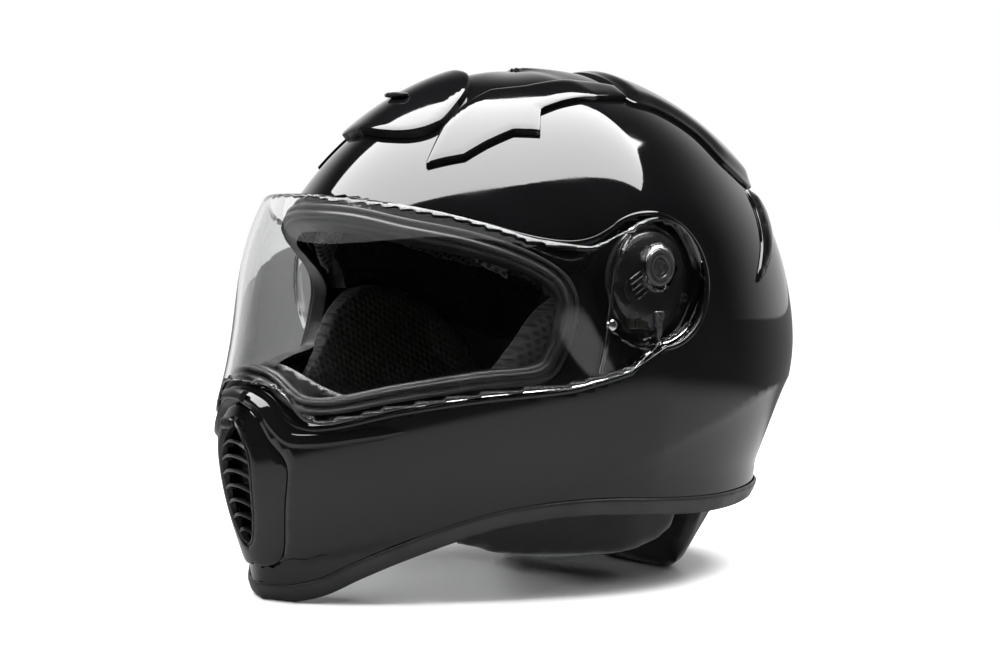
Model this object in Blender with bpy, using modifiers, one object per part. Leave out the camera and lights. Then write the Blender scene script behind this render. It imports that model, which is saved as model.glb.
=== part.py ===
"""A full-face motorcycle helmet, standing on its chin and its neck roll and facing -Y.

Metres, +Z up, +X is the wearer's left. Lengths below are written in millimetres times MM.
Most pieces are layers of one head-shaped form, trimmed by outlines drawn in the side view.
"""

import math

import bmesh
import bpy
import numpy as np
from mathutils import Matrix, Vector

MM = 0.001

# The helmet as a whole
AXIS_Y = 6.2 * MM  # the crown's vertical axis stands this far behind mid-length
CENTRE_Z = 128 * MM  # height of the point that the forms are drawn round
CROWN_Z = 262 * MM
FRONT_REACH = 174 * MM  # from the axis to the chin
REAR_REACH = 165 * MM
SIDE_REACH = 124 * MM
CAVITY_WIDTH = 158 * MM
CAVITY_CROWN_Z = 214 * MM
SHELL_FACETS = (32, 16)  # round the form, and from bottom to top
LINING_FACETS = (20, 10)
VISOR_FACETS = (48, 24)
SHORTEST_EDGE = 0.9  # of an outline that is moved outward or inward, in millimetres
WELD_WITHIN = 0.02 * MM
AHEAD = (-0.3, -0.1)  # along Y, past the chin and short of the middle
ABOVE = (0.17, 0.35)  # along Z, past the crown
MOST_STRETCH = 1.5  # of a wall measured along a ray from the centre, where the form slopes

# Walls and layers
SHELL_WALL = 4.5 * MM
LINER_GAP = 2.0 * MM
COMFORT_LAYER = 9 * MM
CHEEK_INSET = 12.5 * MM  # cheek pad's outer face below the shell's outer face
GAP = 0.4 * MM  # between pieces that touch
NODE_GAP = 0.3 * MM

# Eyeport, visor and their recess
GASKET_WIDTH = 9 * MM
GASKET_DEPTH = 11 * MM
GASKET_PROUD = 0.4 * MM
RECESS_DEPTH = 2.2 * MM
VISOR_WALL = 2.2 * MM
VISOR_LIFT = 1.2 * MM  # visor's inner face above the shell's form
VISOR_BULGE = 11.5 * MM  # and this much more at the top of its middle
VISOR_OPEN = 55  # degrees

# Pivots
PIVOT_Y = -7 * MM  # the hinge axis runs along X through here
PIVOT_Z = 161 * MM
POD_Y = -8 * MM  # middle of the round pocket that holds the mechanism
POD_Z = 154.5 * MM
POD_RADIUS = 32.5 * MM
POD_FLOOR_X = SIDE_REACH - 13.5 * MM
POD_WALL = 3.6 * MM
EAR_INNER_X = SIDE_REACH - 5.4 * MM
EAR_CLEARANCE = 2 * MM  # from the visor's edge to the step round it
EAR_SEAT = 0.9 * MM  # from the ear's inner face to the shell's face under it
EAR_WALL = 3.2 * MM  # of the shell under the ear
EAR_FLAT = 44 * MM  # the visor is flat this far from the hinge axis, and
EAR_BLEND = 66 * MM  # follows the shell again from here
HUB_RADIUS = 9.2 * MM
BASE_RADIUS = POD_RADIUS - 5.5 * MM
BASE_RIM = 2.2 * MM
BASE_TOP_X = SIDE_REACH - 6 * MM
BESIDE_X = SIDE_REACH + 16 * MM  # past everything at the sides

# Bottom edge
TRIM_HEIGHT = 9 * MM
TRIM_PROUD = 1.3 * MM
TRIM_SLOT = 3.2 * MM  # height of rubber under the shell's edge

# Visor fittings
RIVET_RADIUS = 1.8 * MM
RIVET_HEAD = 2.8 * MM
RIVET_TOP = 1.8 * MM
RIVET_RISE = 1.0 * MM
RIVET_Y = -38 * MM
RIVET_Z = 134 * MM
TAB_SIZE = (8, 97.5, 104)  # half width, bottom and top, in millimetres
TAB_BACK = 0.6 * MM  # stands off the visor
TAB_THICK = 2.2 * MM

# Pivot fittings
SCREW_RADIUS = 2.6 * MM
BASE_SCREW_RING = BASE_RADIUS - 4 * MM
BASE_SCREW_ANGLES = (math.radians(144.6), math.radians(-22))
BASE_SCREWS = [
    (POD_Y + BASE_SCREW_RING * math.cos(a), POD_Z + BASE_SCREW_RING * math.sin(a)) for a in BASE_SCREW_ANGLES
]
HUB_SCREW_RADIUS = 4.1 * MM
COMB_Y = -20.5 * MM
COMB_Z = 151 * MM
COMB_RADIUS = 6.5 * MM
COMB_FLOOR_X = POD_FLOOR_X + 2.9 * MM
COMB_TILT = math.radians(-35)
LEVER_Y = -5 * MM
LEVER_Z = POD_Z - POD_RADIUS + 15 * MM
LEVER_LENGTH = 13 * MM
LEVER_TOP_X = BASE_TOP_X
LEVER_THICK = 3 * MM

# Vents
CHIN_PANEL_WALL = 1.9 * MM
GRILLE_SLOT = 4.2 * MM
GRILLE_PITCH = 7.4 * MM
GRILLE_SLOTS = 5
GRILLE_BACK = 0.8 * MM
CHIN_SLIDER = (11 * MM, 3.6 * MM, 5.6 * MM)
CHIN_SLIDER_Z = 87 * MM
SCOOP_HEIGHT = 5 * MM
WING_HEIGHT = 3.2 * MM
SPOILER_HEIGHT = 5 * MM
BLADE_HEIGHT = 3.6 * MM
CROWN_SLIDER = (16 * MM, 9 * MM, 2.6 * MM)
CROWN_SLIDER_Y = -72 * MM

# Chin strap and buckle
STRAP_WIDTH = 24 * MM
STRAP_THICK = 1.8 * MM
STRAP_Y = -14 * MM
STRAP_ANCHOR_Z = 71
ANCHOR_RADIUS = 3 * MM
STRAP_BACKS = ((78, 1.9), (66, 1.9), (55, 2.8), (45, 5.4))  # height, and depth inside the shell
STRAP_CROSSING = ((SIDE_REACH / MM - 42, 38.5), (SIDE_REACH / MM - 60, 35.2), (46, 34.4), (30, 34.4))
BUCKLE_Z = 34.4 * MM
BUCKLE_BODY = (30 * MM, 26 * MM, 8.6 * MM)
BUCKLE_CHANNEL = (40 * MM, 21.6 * MM, 12 * MM)
BUCKLE_LEVER = (27 * MM, 20.6 * MM, 5 * MM)
BUCKLE_PIN_X = 23 * MM
BUCKLE_PIN_RADIUS = 1.3 * MM
TONGUE = (48 * MM, 18 * MM, 1.6 * MM)

# Outlines in the side view, as (y, z) in millimetres
EYEPORT_TOP = ((-150, 194), (-124, 191), (-107, 184.5), (-86, 178), (-66, 168.5), (-53.5, 158.5))
EYEPORT_REAR = ((-49, 147), (-50, 136), (-55, 120), (-65, 107))
EYEPORT_CHIN = (
    (-93, 103.5), (-124, 98), (-146, 92.5), (-157, 92.5), (-162, 98), (-165, 106), (-172, 110),
)
RECESS_BROW = ((-150, 198), (-122, 194.5), (-106, 188), (-85, 182.5), (-71, 177), (-58, 173.5))
RECESS_NECK = ((-47, 172.8), (-37, 175.2), (-27, 180.5))
RECESS_CHIN = (
    (-24, 110.5), (-42, 105.5), (-56, 102.5), (-93, 98.8), (-124, 93.5), (-147, 87), (-157, 86.5),
)
RECESS_NOSE = ((-162, 91.5), (-165, 102), (-172, 106))
VISOR_TOP = (
    (-160, 198), (-140, 198.5), (-120, 194), (-100, 188.5), (-82, 182.5), (-66, 176.5), (-52, 173.5),
)
BOTTOM_EDGE = (
    (-150, 0), (-141, 4), (-130, 12), (-116, 20), (-96, 29), (-76, 35.5), (-52, 39), (-28, 40),
    (0, 38.5), (24, 37), (52, 36), (90, 36.5), (130, 38), (190, 40),
)
CHEEK_PAD = (
    (-58, 16), (-92, 30), (-109, 55), (-111, 84), (-103, 98), (-88, 105), (-74, 117), (-60, 138),
    (-38, 151), (-8, 149), (24, 130), (40, 100), (44, 60), (36, 26), (0, 16),
)
NECK_ROLL = (
    (53, 0), (104, 0), (150, 34), (160, 64), (150, 76), (110, 79), (72, 74), (50, 56), (47, 20),
)
EXHAUST_BLADE = ((86, 200), (97, 196), (101, 184), (92, 167), (68, 152), (80, 172), (85, 188))

# Outlines in the plan view, as (x, y) in millimetres
WING_PANEL = (
    (36, -73), (45, -91), (56, -75), (58.5, -63), (62, -50), (70.5, -40), (60.5, -31),
    (62, -20), (66, 0), (64, 22), (52, 24), (47, 0), (40, -25), (31.5, -40), (32, -56),
)
SPOILER_EDGE = (
    (0.8, 34), (30, 30), (50, 26), (64, 24), (68, 40), (74, 60), (84, 71), (80, 92), (60, 108),
    (30, 116), (0.8, 118),
)
CROWN_VENT = ((-17, -80), (17, -80), (17, -71), (-17, -71))
SCOOP_EDGE = ((0.8, -96), (14, -94), (28, -86), (34.5, -74), (30, -58), (22, -46), (12, -38), (0.8, -36))

# Outlines in the front view, as (x, z) in millimetres
CHIN_PANEL = ((0.8, 97), (12, 92), (22, 80), (29.5, 68), (26, 48), (19, 24), (10, 17.5), (0.8, 17.1))
CHIN_VENT = ((0.8, 88), (7, 82), (12.3, 72), (12.6, 60), (10, 42), (5, 30), (0.8, 26.5))


def natural(places, values):
    """A natural cubic spline through the values, held level outside its ends."""
    x, y = np.array(places, float), np.array(values, float)
    h, count = np.diff(x), len(x)
    rows, right = np.eye(count), np.zeros(count)
    for i in range(1, count - 1):
        rows[i, i - 1 : i + 2] = h[i - 1], 2 * (h[i - 1] + h[i]), h[i]
        right[i] = 6 * ((y[i + 1] - y[i]) / h[i] - (y[i] - y[i - 1]) / h[i - 1])
    bend = np.linalg.solve(rows, right)

    def value(at):
        at = min(max(at, x[0]), x[-1])
        i = min(max(int(np.searchsorted(x, at)) - 1, 0), count - 2)
        left, past, width = x[i + 1] - at, at - x[i], h[i]
        curved = (bend[i] * left**3 + bend[i + 1] * past**3) / (6 * width)
        straight = (y[i] / width - bend[i] * width / 6) * left
        return float(curved + straight + (y[i + 1] / width - bend[i + 1] * width / 6) * past)

    return value


def meridian(reach, crown, profile):
    """Radius against elevation of a profile of (share of reach, height in mm), bottom to crown."""
    points = [(share * reach, z * MM - CENTRE_Z) for share, z in profile] + [(0, crown - CENTRE_Z)]
    angles = [math.degrees(math.atan2(z, out)) for out, z in points]
    radii = [math.hypot(out, z) for out, z in points]
    past_crown = [(180 - a, r) for a, r in zip(angles[-2:-5:-1], radii[-2:-5:-1])]
    return natural(angles + [a for a, _ in past_crown], radii + [r for _, r in past_crown])


def form(front, rear, side, squareness):
    """A closed form round the centre, as a function from a direction to a radius."""
    soften = 0.12

    def radius(direction):
        level = math.hypot(direction.x, direction.y)
        elevation = math.degrees(math.atan2(direction.z, level))
        across, along = (direction.x / level, -direction.y / level) if level > 1e-6 else (0, 1)
        power = squareness(elevation) if along > 0 else 2.1
        low = soften**power
        wide = ((across**2 + soften**2) ** (power / 2) - low) / ((1 + soften**2) ** (power / 2) - low)
        ahead = abs(along) / (front if along > 0 else rear)(elevation)
        return (wide / side(elevation) ** power + ahead**power) ** (-1 / power)

    return radius


def outer_form():
    """The helmet's outer face."""
    front = meridian(FRONT_REACH, CROWN_Z, (
        (0.862, -14), (0.897, 2), (0.931, 18), (0.971, 38), (1.0, 60), (1.0, 82), (0.966, 102),
        (0.902, 132), (0.833, 163), (0.73, 193), (0.592, 220), (0.414, 242), (0.207, 257)))
    rear = meridian(REAR_REACH, CROWN_Z, (
        (0.679, 0), (0.8, 30), (0.885, 58), (0.958, 84), (1.0, 108), (0.988, 140), (0.915, 176),
        (0.758, 212), (0.539, 240), (0.279, 257)))
    side = meridian(SIDE_REACH, CROWN_Z, (
        (0.742, -8), (0.839, 28), (0.919, 60), (0.972, 90), (1.0, 118), (0.996, 148), (0.944, 182),
        (0.806, 213), (0.565, 241), (0.282, 257)))
    nose = natural((-60, -12, 5, 25, 45, 70, 90), (1.5, 1.5, 1.55, 1.6, 1.65, 1.85, 2.0))
    return form(front, rear, side, nose)


def head_form():
    """The space that the lining leaves for a head."""
    half, crown = CAVITY_WIDTH / 2, CAVITY_CROWN_Z
    front = meridian(FRONT_REACH, crown, (
        (0.76, 8), (0.78, 50), (0.77, 90), (0.71, 125), (0.62, 160), (0.5, 190), (0.27, 209)))
    rear = meridian(REAR_REACH, crown, (
        (0.436, 0), (0.51, 40), (0.63, 80), (0.70, 120), (0.68, 155), (0.533, 188), (0.28, 208)))
    side = meridian(half, crown, (
        (0.60, 0), (0.66, 30), (0.74, 62), (0.88, 92), (0.98, 120), (1.0, 150), (0.873, 182), (0.48, 206)))
    return form(front, rear, side, natural((-60, 0, 90), (3.0, 2.8, 2.0)))


OUTER = outer_form()
HEAD = head_form()


def clear_scene():
    for thing in list(bpy.data.objects):
        bpy.data.objects.remove(thing, do_unlink=True)


def collection(name):
    made = bpy.data.collections.new(name)
    bpy.context.scene.collection.children.link(made)
    return made


def material(name, colour, roughness, metallic=0.0, alpha=1.0):
    made = bpy.data.materials.new(name)
    made.use_nodes = True
    shader = made.node_tree.nodes["Principled BSDF"]
    shader.inputs["Base Color"].default_value = (*colour, 1)
    shader.inputs["Roughness"].default_value = roughness
    shader.inputs["Metallic"].default_value = metallic
    shader.inputs["Alpha"].default_value = alpha
    return made


def add_object(name, mesh, group, finish=None):
    """Puts a mesh in a collection, under the helmet's own axes."""
    made = bpy.data.objects.new(name, mesh)
    group.objects.link(made)
    made.parent = helmet_axes
    if finish:
        mesh.materials.clear()
        mesh.materials.append(finish)
        mesh.shade_smooth()
        mesh.set_sharp_from_angle(angle=math.radians(35))
    if group is cutters:
        made.hide_render = True
        made.display_type = "WIRE"
    return made


def cut(target, tool, operation="DIFFERENCE"):
    modifier = target.modifiers.new(f"{operation.lower()} {tool.name}", "BOOLEAN")
    modifier.operation = operation
    modifier.object = tool
    modifier.solver = "EXACT"


def keep(target, tool):
    cut(target, tool, "INTERSECT")


def join(target, tool):
    cut(target, tool, "UNION")


def weld(target):
    """Closes up the hair-thin faces that cuts leave."""
    modifier = target.modifiers.new("weld", "WELD")
    modifier.merge_threshold = WELD_WITHIN


def mesh_from(shape, name):
    bmesh.ops.recalc_face_normals(shape, faces=shape.faces)
    mesh = bpy.data.meshes.new(name)
    shape.to_mesh(mesh)
    shape.free()
    return mesh


def layer_mesh(name, radius, outward, facets=SHELL_FACETS, reshape=None):
    """A closed face of a form, moved out from the centre until it stands off by a distance."""
    shape = bmesh.new()
    bmesh.ops.create_uvsphere(shape, u_segments=facets[0], v_segments=facets[1], radius=1)
    centre = Vector((0, 0, CENTRE_Z))
    directions = [vertex.co.normalized() for vertex in shape.verts]
    for vertex, direction in zip(shape.verts, directions):
        vertex.co = centre + direction * radius(direction)
    shape.normal_update()
    steepest = 1 / MOST_STRETCH
    slopes = [max(vertex.normal.dot(way), steepest) for vertex, way in zip(shape.verts, directions)]
    for vertex, direction, slope in zip(shape.verts, directions, slopes):
        place = vertex.co + direction * outward / slope
        vertex.co = reshape(place) if reshape else place
    bmesh.ops.triangulate(shape, faces=shape.faces, quad_method="FIXED")
    return mesh_from(shape, name)


def layer_tool(name, radius, outward, facets=SHELL_FACETS, reshape=None):
    return add_object(name, layer_mesh(name, radius, outward, facets, reshape), cutters)


def outward_from(start, direction):
    """Distance from a point inside the outer form to its face, along a direction."""
    near, far = 0.0, 0.4
    for _ in range(30):
        middle = (near + far) / 2
        spot = Vector(start) + Vector(direction) * middle - Vector((0, 0, CENTRE_Z))
        near, far = (middle, far) if spot.length < OUTER(spot.normalized()) else (near, middle)
    return near


def side_x(y, z):
    return outward_from((0, y, z), (1, 0, 0))


def top_z(y):
    return CENTRE_Z + outward_from((0, y, CENTRE_Z), (0, 0, 1))


def through(points, steps=2):
    """A smooth open run through the points."""
    spots = [Vector(p) for p in points]
    spots = [2 * spots[0] - spots[1], *spots, 2 * spots[-1] - spots[-2]]
    run = []
    for a, b, c, d in zip(spots, spots[1:], spots[2:], spots[3:]):
        for step in range(steps):
            t = step / steps
            bent = (2 * a - 5 * b + 4 * c - d) * t**2 + (3 * b - 3 * c + d - a) * t**3
            run.append(0.5 * (2 * b + (c - a) * t + bent))
    return [tuple(p) for p in run] + [tuple(points[-1])]


def closed_through(points, steps=2):
    """A smooth closed outline through the points."""
    looped = list(points[-2:]) + list(points) + list(points[:3])
    return through(looped, steps)[2 * steps : -3 * steps]


def arc(middle, radius, start, end, steps):
    angles = [math.radians(start + (end - start) * i / steps) for i in range(steps + 1)]
    return [(middle[0] + radius * math.cos(a), middle[1] + radius * math.sin(a)) for a in angles]


def mirrored(half):
    """A closed outline from its right half, given from the middle line round to it."""
    return list(half) + [(-x, y) for x, y in reversed(half) if x > 1e-6]


def grown(outline, distance):
    """The outline moved outward by a distance in millimetres, whichever way round it runs."""
    spots = [Vector(p) for p in outline]
    area = sum(a.x * b.y - a.y * b.x for a, b in zip(spots, spots[1:] + spots[:1]))
    turn = 1 if area > 0 else -1
    made = []
    for before, here, after in zip(spots[-1:] + spots[:-1], spots, spots[1:] + spots[:1]):
        first, second = (here - before).normalized(), (after - here).normalized()
        normal = Vector((first.y + second.y, -first.x - second.x)).normalized() * turn
        stretch = max(0.6, normal.dot(Vector((first.y, -first.x)) * turn))
        made.append(here + normal * distance / stretch)
    edges = list(zip(spots, spots[1:] + spots[:1]))
    clean = []
    for place in made:
        folded = min(reach(place, a, b) for a, b in edges) < 0.97 * abs(distance) - 1e-6
        if not folded and (not clean or (place - clean[-1]).length > SHORTEST_EDGE):
            clean.append(place)
    return [tuple(place) for place in clean]


def reach(point, a, b):
    """Distance from a point to the line from a to b."""
    along = b - a
    share = min(max((point - a).dot(along) / along.length_squared, 0.0), 1.0)
    return (a + along * share - point).length


FACING = {
    "X": Matrix(((0, 0, 1), (1, 0, 0), (0, 1, 0))),  # outline (y, z), extruded along X
    "Y": Matrix(((1, 0, 0), (0, 0, -1), (0, 1, 0))),  # outline (x, z), extruded along Y
    "Z": Matrix.Identity(3),  # outline (x, y), extruded along Z
}


def prism_mesh(name, outline, low, high, facing="X"):
    """A flat outline in millimetres, extruded between two places along an axis."""
    curve = bpy.data.curves.new(name, "CURVE")
    curve.dimensions = "2D"
    curve.fill_mode = "BOTH"
    curve.extrude = abs(high - low) / 2
    spline = curve.splines.new("POLY")
    spline.points.add(len(outline) - 1)
    for point, (a, b) in zip(spline.points, outline):
        point.co = (a * MM, b * MM, 0, 1)
    spline.use_cyclic_u = True
    guide = bpy.data.objects.new(name + " outline", curve)
    mesh = bpy.data.meshes.new_from_object(guide)
    bpy.data.objects.remove(guide, do_unlink=True)
    bpy.data.curves.remove(curve)
    middle = (low + high) / 2 * (-1 if facing == "Y" else 1)
    mesh.transform(FACING[facing].to_4x4() @ Matrix.Translation((0, 0, middle)))
    shape = bmesh.new()
    shape.from_mesh(mesh)
    bpy.data.meshes.remove(mesh)
    bmesh.ops.remove_doubles(shape, verts=shape.verts, dist=1e-6)
    return mesh_from(shape, name)


def prism_tool(name, outline, low=-0.2, high=0.2, facing="X"):
    return add_object(name, prism_mesh(name, outline, low, high, facing), cutters)


def side_prism(name, outline, side):
    """A side-view outline across one half of the helmet."""
    ends = sorted((2 * MM * side, 200 * MM * side))
    return prism_tool(name, outline, *ends)


def cylinder_mesh(name, radius, low, high, y, z, facets=32, top_radius=None):
    """A round piece along X between two places."""
    shape = bmesh.new()
    bmesh.ops.create_cone(shape, cap_ends=True, segments=facets, radius1=radius,
                          radius2=radius if top_radius is None else top_radius, depth=abs(high - low))
    turn = Matrix.Rotation(math.radians(90 if high > low else -90), 4, "Y")
    place = Matrix.Translation(((low + high) / 2, y, z)) @ turn
    bmesh.ops.transform(shape, matrix=place, verts=shape.verts)
    return mesh_from(shape, name)


def box_mesh(name, size, centre=(0, 0, 0)):
    shape = bmesh.new()
    bmesh.ops.create_cube(shape, size=1, matrix=Matrix.Translation(centre) @ Matrix.Diagonal((*size, 1)))
    return mesh_from(shape, name)


def round_edges(piece, width, segments=2):
    bevel = piece.modifiers.new("rounded edges", "BEVEL")
    bevel.width = width
    bevel.segments = segments
    bevel.limit_method = "ANGLE"


clear_scene()
helmet_axes = bpy.data.objects.new("helmet_axes", None)
bpy.context.scene.collection.objects.link(helmet_axes)
helmet_axes.location = (0, AXIS_Y, 0)
helmet = collection("motorcycle_helmet")
cutters = collection("cutters")

black_gloss = material("black gloss lacquer", (0.006, 0.006, 0.007), 0.06)
black_plastic = material("black plastic", (0.012, 0.012, 0.013), 0.35)
grey_plastic = material("grey plastic", (0.09, 0.09, 0.095), 0.3)
clear_plastic = material("clear polycarbonate", (0.95, 0.96, 0.97), 0.03, alpha=0.2)
black_rubber = material("black rubber", (0.014, 0.014, 0.014), 0.55)
foam = material("expanded polystyrene", (0.03, 0.03, 0.032), 0.85)
mesh_fabric = material("net fabric", (0.05, 0.05, 0.052), 0.8)
webbing = material("black webbing", (0.012, 0.012, 0.012), 0.7)
steel = material("steel", (0.6, 0.6, 0.62), 0.25, metallic=1.0)

EARS = (POD_Y / MM, POD_Z / MM)
SIDES = (("left", 1), ("right", -1))


# Outlines worked out from the points above

def eyeport(growth=0.0):
    run = through(EYEPORT_TOP + EYEPORT_REAR + EYEPORT_CHIN)
    return grown([(-260, 195)] + run + [(-260, 111)], growth)


def recess(growth=0.0):
    brow = through(RECESS_BROW + RECESS_NECK)
    ear = arc(EARS, POD_RADIUS / MM, 122, -84, 11)
    chin = through(RECESS_CHIN + RECESS_NOSE)
    return grown([(-260, 199)] + brow + ear + chin + [(-260, 106.5)], growth)


def visor_outline():
    brow = through(VISOR_TOP + ((-41, 176),))
    ear = arc(EARS, POD_RADIUS / MM, 124, -84, 11)
    chin = through(RECESS_CHIN + RECESS_NOSE)
    return grown([(-260, 198)] + brow + ear + chin + [(-260, 106.5)], -EAR_CLEARANCE / MM)


def bottom_run(height):
    edge = through(BOTTOM_EDGE, 2)
    return [(-260, height)] + [(y, z + height) for y, z in edge] + [(215, 41 + height)]


def below_bottom(height):
    return [(-260, -260)] + bottom_run(height) + [(215, -260)]


# The visor's own form: the shell's, lifted, bulged at its top and flat at the ears

def ramp(value, start, end):
    t = min(max((value - start) / (end - start), 0.0), 1.0)
    return t * t * (3 - 2 * t)


def visor_form(direction):
    radius = OUTER(direction)
    across = abs(direction.x) / max(math.hypot(direction.x, direction.y), 1e-6)
    height = CENTRE_Z + radius * direction.z
    swell = ramp(height, 100 * MM, 200 * MM) * (1 - ramp(across, 0.5, 0.95))
    return radius + VISOR_LIFT + VISOR_BULGE * swell


def flat_ear(face_x, only_inward=False):
    """Brings the faces round each hinge flat, at face_x from the middle of the helmet."""
    def reshape(place):
        away = math.hypot(place.y - PIVOT_Y, place.z - PIVOT_Z)
        outside = abs(place.x) < 70 * MM or away > EAR_BLEND
        if outside or (only_inward and abs(place.x) < face_x):
            return place
        share = 1 - ramp(away, EAR_FLAT, EAR_BLEND)
        x = abs(place.x) + (face_x - abs(place.x)) * share
        return Vector((math.copysign(x, place.x), place.y, place.z))

    return reshape


# Tools that several pieces share

seat_x = EAR_INNER_X - EAR_SEAT
skin_inner = layer_tool("skin inner face", OUTER, -SHELL_WALL, reshape=flat_ear(seat_x - EAR_WALL, True))
under_recess = layer_tool("recess floor", OUTER, -RECESS_DEPTH, VISOR_FACETS, flat_ear(seat_x, True))
head_room = layer_tool("head room", HEAD, 0, LINING_FACETS)
below_shell = prism_tool("below shell edge", below_bottom(TRIM_SLOT / MM))
below_lining = prism_tool("below lining", below_bottom(TRIM_HEIGHT / MM + 1.0))
eyeport_opening = prism_tool("eyeport opening", eyeport())
cheek_room = prism_tool("cheek room", grown(closed_through(CHEEK_PAD), 0.6))


def pod_tool(name, radius, inner_x, outer_x, side, y=POD_Y, z=POD_Z):
    return add_object(name, cylinder_mesh(name, radius, inner_x * side, outer_x * side, y, z), cutters)


def make_shell():
    """The lacquered shell, with its recess for the visor, its two pivot pockets and its vents."""
    shell = add_object("outer_shell", layer_mesh("outer_shell", OUTER, 0), helmet, black_gloss)
    cut(shell, skin_inner)
    for name, side in SIDES:
        pod = pod_tool(f"{name} pod wall", POD_RADIUS + POD_WALL, POD_FLOOR_X - POD_WALL, BESIDE_X, side)
        inside = layer_tool(f"{name} pod limit", OUTER, -1 * MM)
        keep(pod, inside)
        join(shell, pod)
    step = prism_tool("visor recess", recess())
    cut(step, under_recess)
    cut(shell, step)
    cut(shell, eyeport_opening)
    for name, side in SIDES:
        cut(shell, pod_tool(f"{name} pod pocket", POD_RADIUS, POD_FLOOR_X, BESIDE_X, side))
    cut(shell, below_shell)
    panel_seat = prism_tool("chin panel seat", grown(mirrored(CHIN_PANEL), 0.4), *AHEAD, "Y")
    cut(panel_seat, layer_tool("chin panel floor", OUTER, -CHIN_PANEL_WALL - 0.4 * MM))
    cut(shell, panel_seat)
    cut(shell, prism_tool("chin vent hole", mirrored(CHIN_VENT), *AHEAD, "Y"))
    cut(shell, prism_tool("crown vent hole", CROWN_VENT, *ABOVE, "Z"))
    weld(shell)


def make_chin_panel():
    """The seamed cover over the middle of the chin."""
    panel = add_object("chin_panel", layer_mesh("chin_panel", OUTER, 0), helmet, black_gloss)
    cut(panel, layer_tool("chin panel back", OUTER, -CHIN_PANEL_WALL))
    keep(panel, prism_tool("chin panel edge", mirrored(CHIN_PANEL), *AHEAD, "Y"))
    cut(panel, prism_tool("chin panel hole", mirrored(CHIN_VENT), *AHEAD, "Y"))


def make_chin_grille():
    """The leaf-shaped grille of the chin vent, with level slots."""
    mesh = layer_mesh("chin_vent_grille", OUTER, -GRILLE_BACK)
    grille = add_object("chin_vent_grille", mesh, helmet, black_plastic)
    cut(grille, layer_tool("grille back", OUTER, -SHELL_WALL))
    keep(grille, prism_tool("grille edge", grown(mirrored(CHIN_VENT), -0.4), *AHEAD, "Y"))
    heights = [z for _, z in reversed(CHIN_VENT)]
    widths = [x for x, _ in reversed(CHIN_VENT)]
    for slot in range(GRILLE_SLOTS):
        z = 36 * MM + slot * GRILLE_PITCH
        half = float(np.interp(z / MM, heights, widths)) * MM - 3 * MM
        name = f"grille slot {slot + 1}"
        tool = box_mesh(name, (2 * half, 0.1, GRILLE_SLOT), (0, -0.16, z))
        cut(grille, add_object(name, tool, cutters))


def make_chin_slider():
    """The thumb slider that shuts the chin vent; it travels down the grille."""
    wide, thick, tall = CHIN_SLIDER
    mesh = box_mesh("chin_vent_slider", (wide, thick, tall))
    slider = add_object("chin_vent_slider", mesh, helmet, black_plastic)
    slider.location = (0, -FRONT_REACH - 0.4 * MM - thick / 2, CHIN_SLIDER_Z)
    round_edges(slider, 1.2 * MM)


def make_trim():
    """The rubber edging that grips the shell's bottom edge; the chin stands on it."""
    trim = add_object("bottom_trim", layer_mesh("bottom_trim", OUTER, TRIM_PROUD), helmet, black_rubber)
    cut(trim, layer_tool("trim back", OUTER, -SHELL_WALL - 1.6 * MM))
    band = bottom_run(0) + list(reversed(bottom_run(TRIM_HEIGHT / MM)))
    keep(trim, prism_tool("trim band", band))
    slot = add_object("trim slot", layer_mesh("trim slot", OUTER, NODE_GAP), cutters)
    cut(slot, layer_tool("trim slot back", OUTER, -SHELL_WALL - NODE_GAP))
    cut(slot, prism_tool("below trim slot", below_bottom((TRIM_SLOT - NODE_GAP) / MM)))
    cut(trim, slot)


def make_gasket():
    """The rubber frame of the eyeport, that the visor closes on."""
    mesh = layer_mesh("eyeport_gasket", OUTER, GASKET_PROUD, VISOR_FACETS)
    gasket = add_object("eyeport_gasket", mesh, helmet, black_rubber)
    cut(gasket, layer_tool("gasket back", OUTER, -GASKET_DEPTH))
    keep(gasket, prism_tool("gasket outside", eyeport(-NODE_GAP / MM)))
    cut(gasket, prism_tool("gasket inside", eyeport(-GASKET_WIDTH / MM)))


def pod_pocket(piece, name, side):
    """Clears a piece of the lining away from behind a pivot pocket."""
    radius, inner = POD_RADIUS + POD_WALL + LINER_GAP, POD_FLOOR_X - POD_WALL - LINER_GAP
    tool = bpy.data.objects.get(f"{name} lining pocket")
    cut(piece, tool or pod_tool(f"{name} lining pocket", radius, inner, BESIDE_X, side))


def make_crown_liner():
    """The energy-absorbing foam over the crown, temples and back of the head."""
    inset = SHELL_WALL + LINER_GAP
    ears = flat_ear(seat_x - EAR_WALL - LINER_GAP, True)
    mesh = layer_mesh("eps_crown_liner", OUTER, -inset, reshape=ears)
    liner = add_object("eps_crown_liner", mesh, helmet, foam)
    cut(liner, layer_tool("crown liner bowl", HEAD, COMFORT_LAYER, LINING_FACETS))
    cut(liner, prism_tool("liner eyeport", eyeport(0.8)))
    cut(liner, cheek_room)
    lower = [(-260, -260), (-260, 112), (-54, 112), (42, 104), (54, 82), (215, 85), (215, -260)]
    cut(liner, prism_tool("below crown liner", lower))
    for name, side in SIDES:
        pod_pocket(liner, name, side)


def make_chin_liner():
    """The foam block in the chin bar, with a duct behind the vent."""
    mesh = layer_mesh("eps_chin_liner", OUTER, -SHELL_WALL - LINER_GAP)
    liner = add_object("eps_chin_liner", mesh, helmet, foam)
    cut(liner, head_room)
    block = [(-260, -60), (-260, 80), (-160, 80), (-146, 83), (-130, 87), (-113, 90), (-113, -60)]
    keep(liner, prism_tool("chin liner block", block))
    cut(liner, below_lining)
    cut(liner, prism_tool("chin liner duct", grown(mirrored(CHIN_VENT[3:]), -3), *AHEAD, "Y"))


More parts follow.
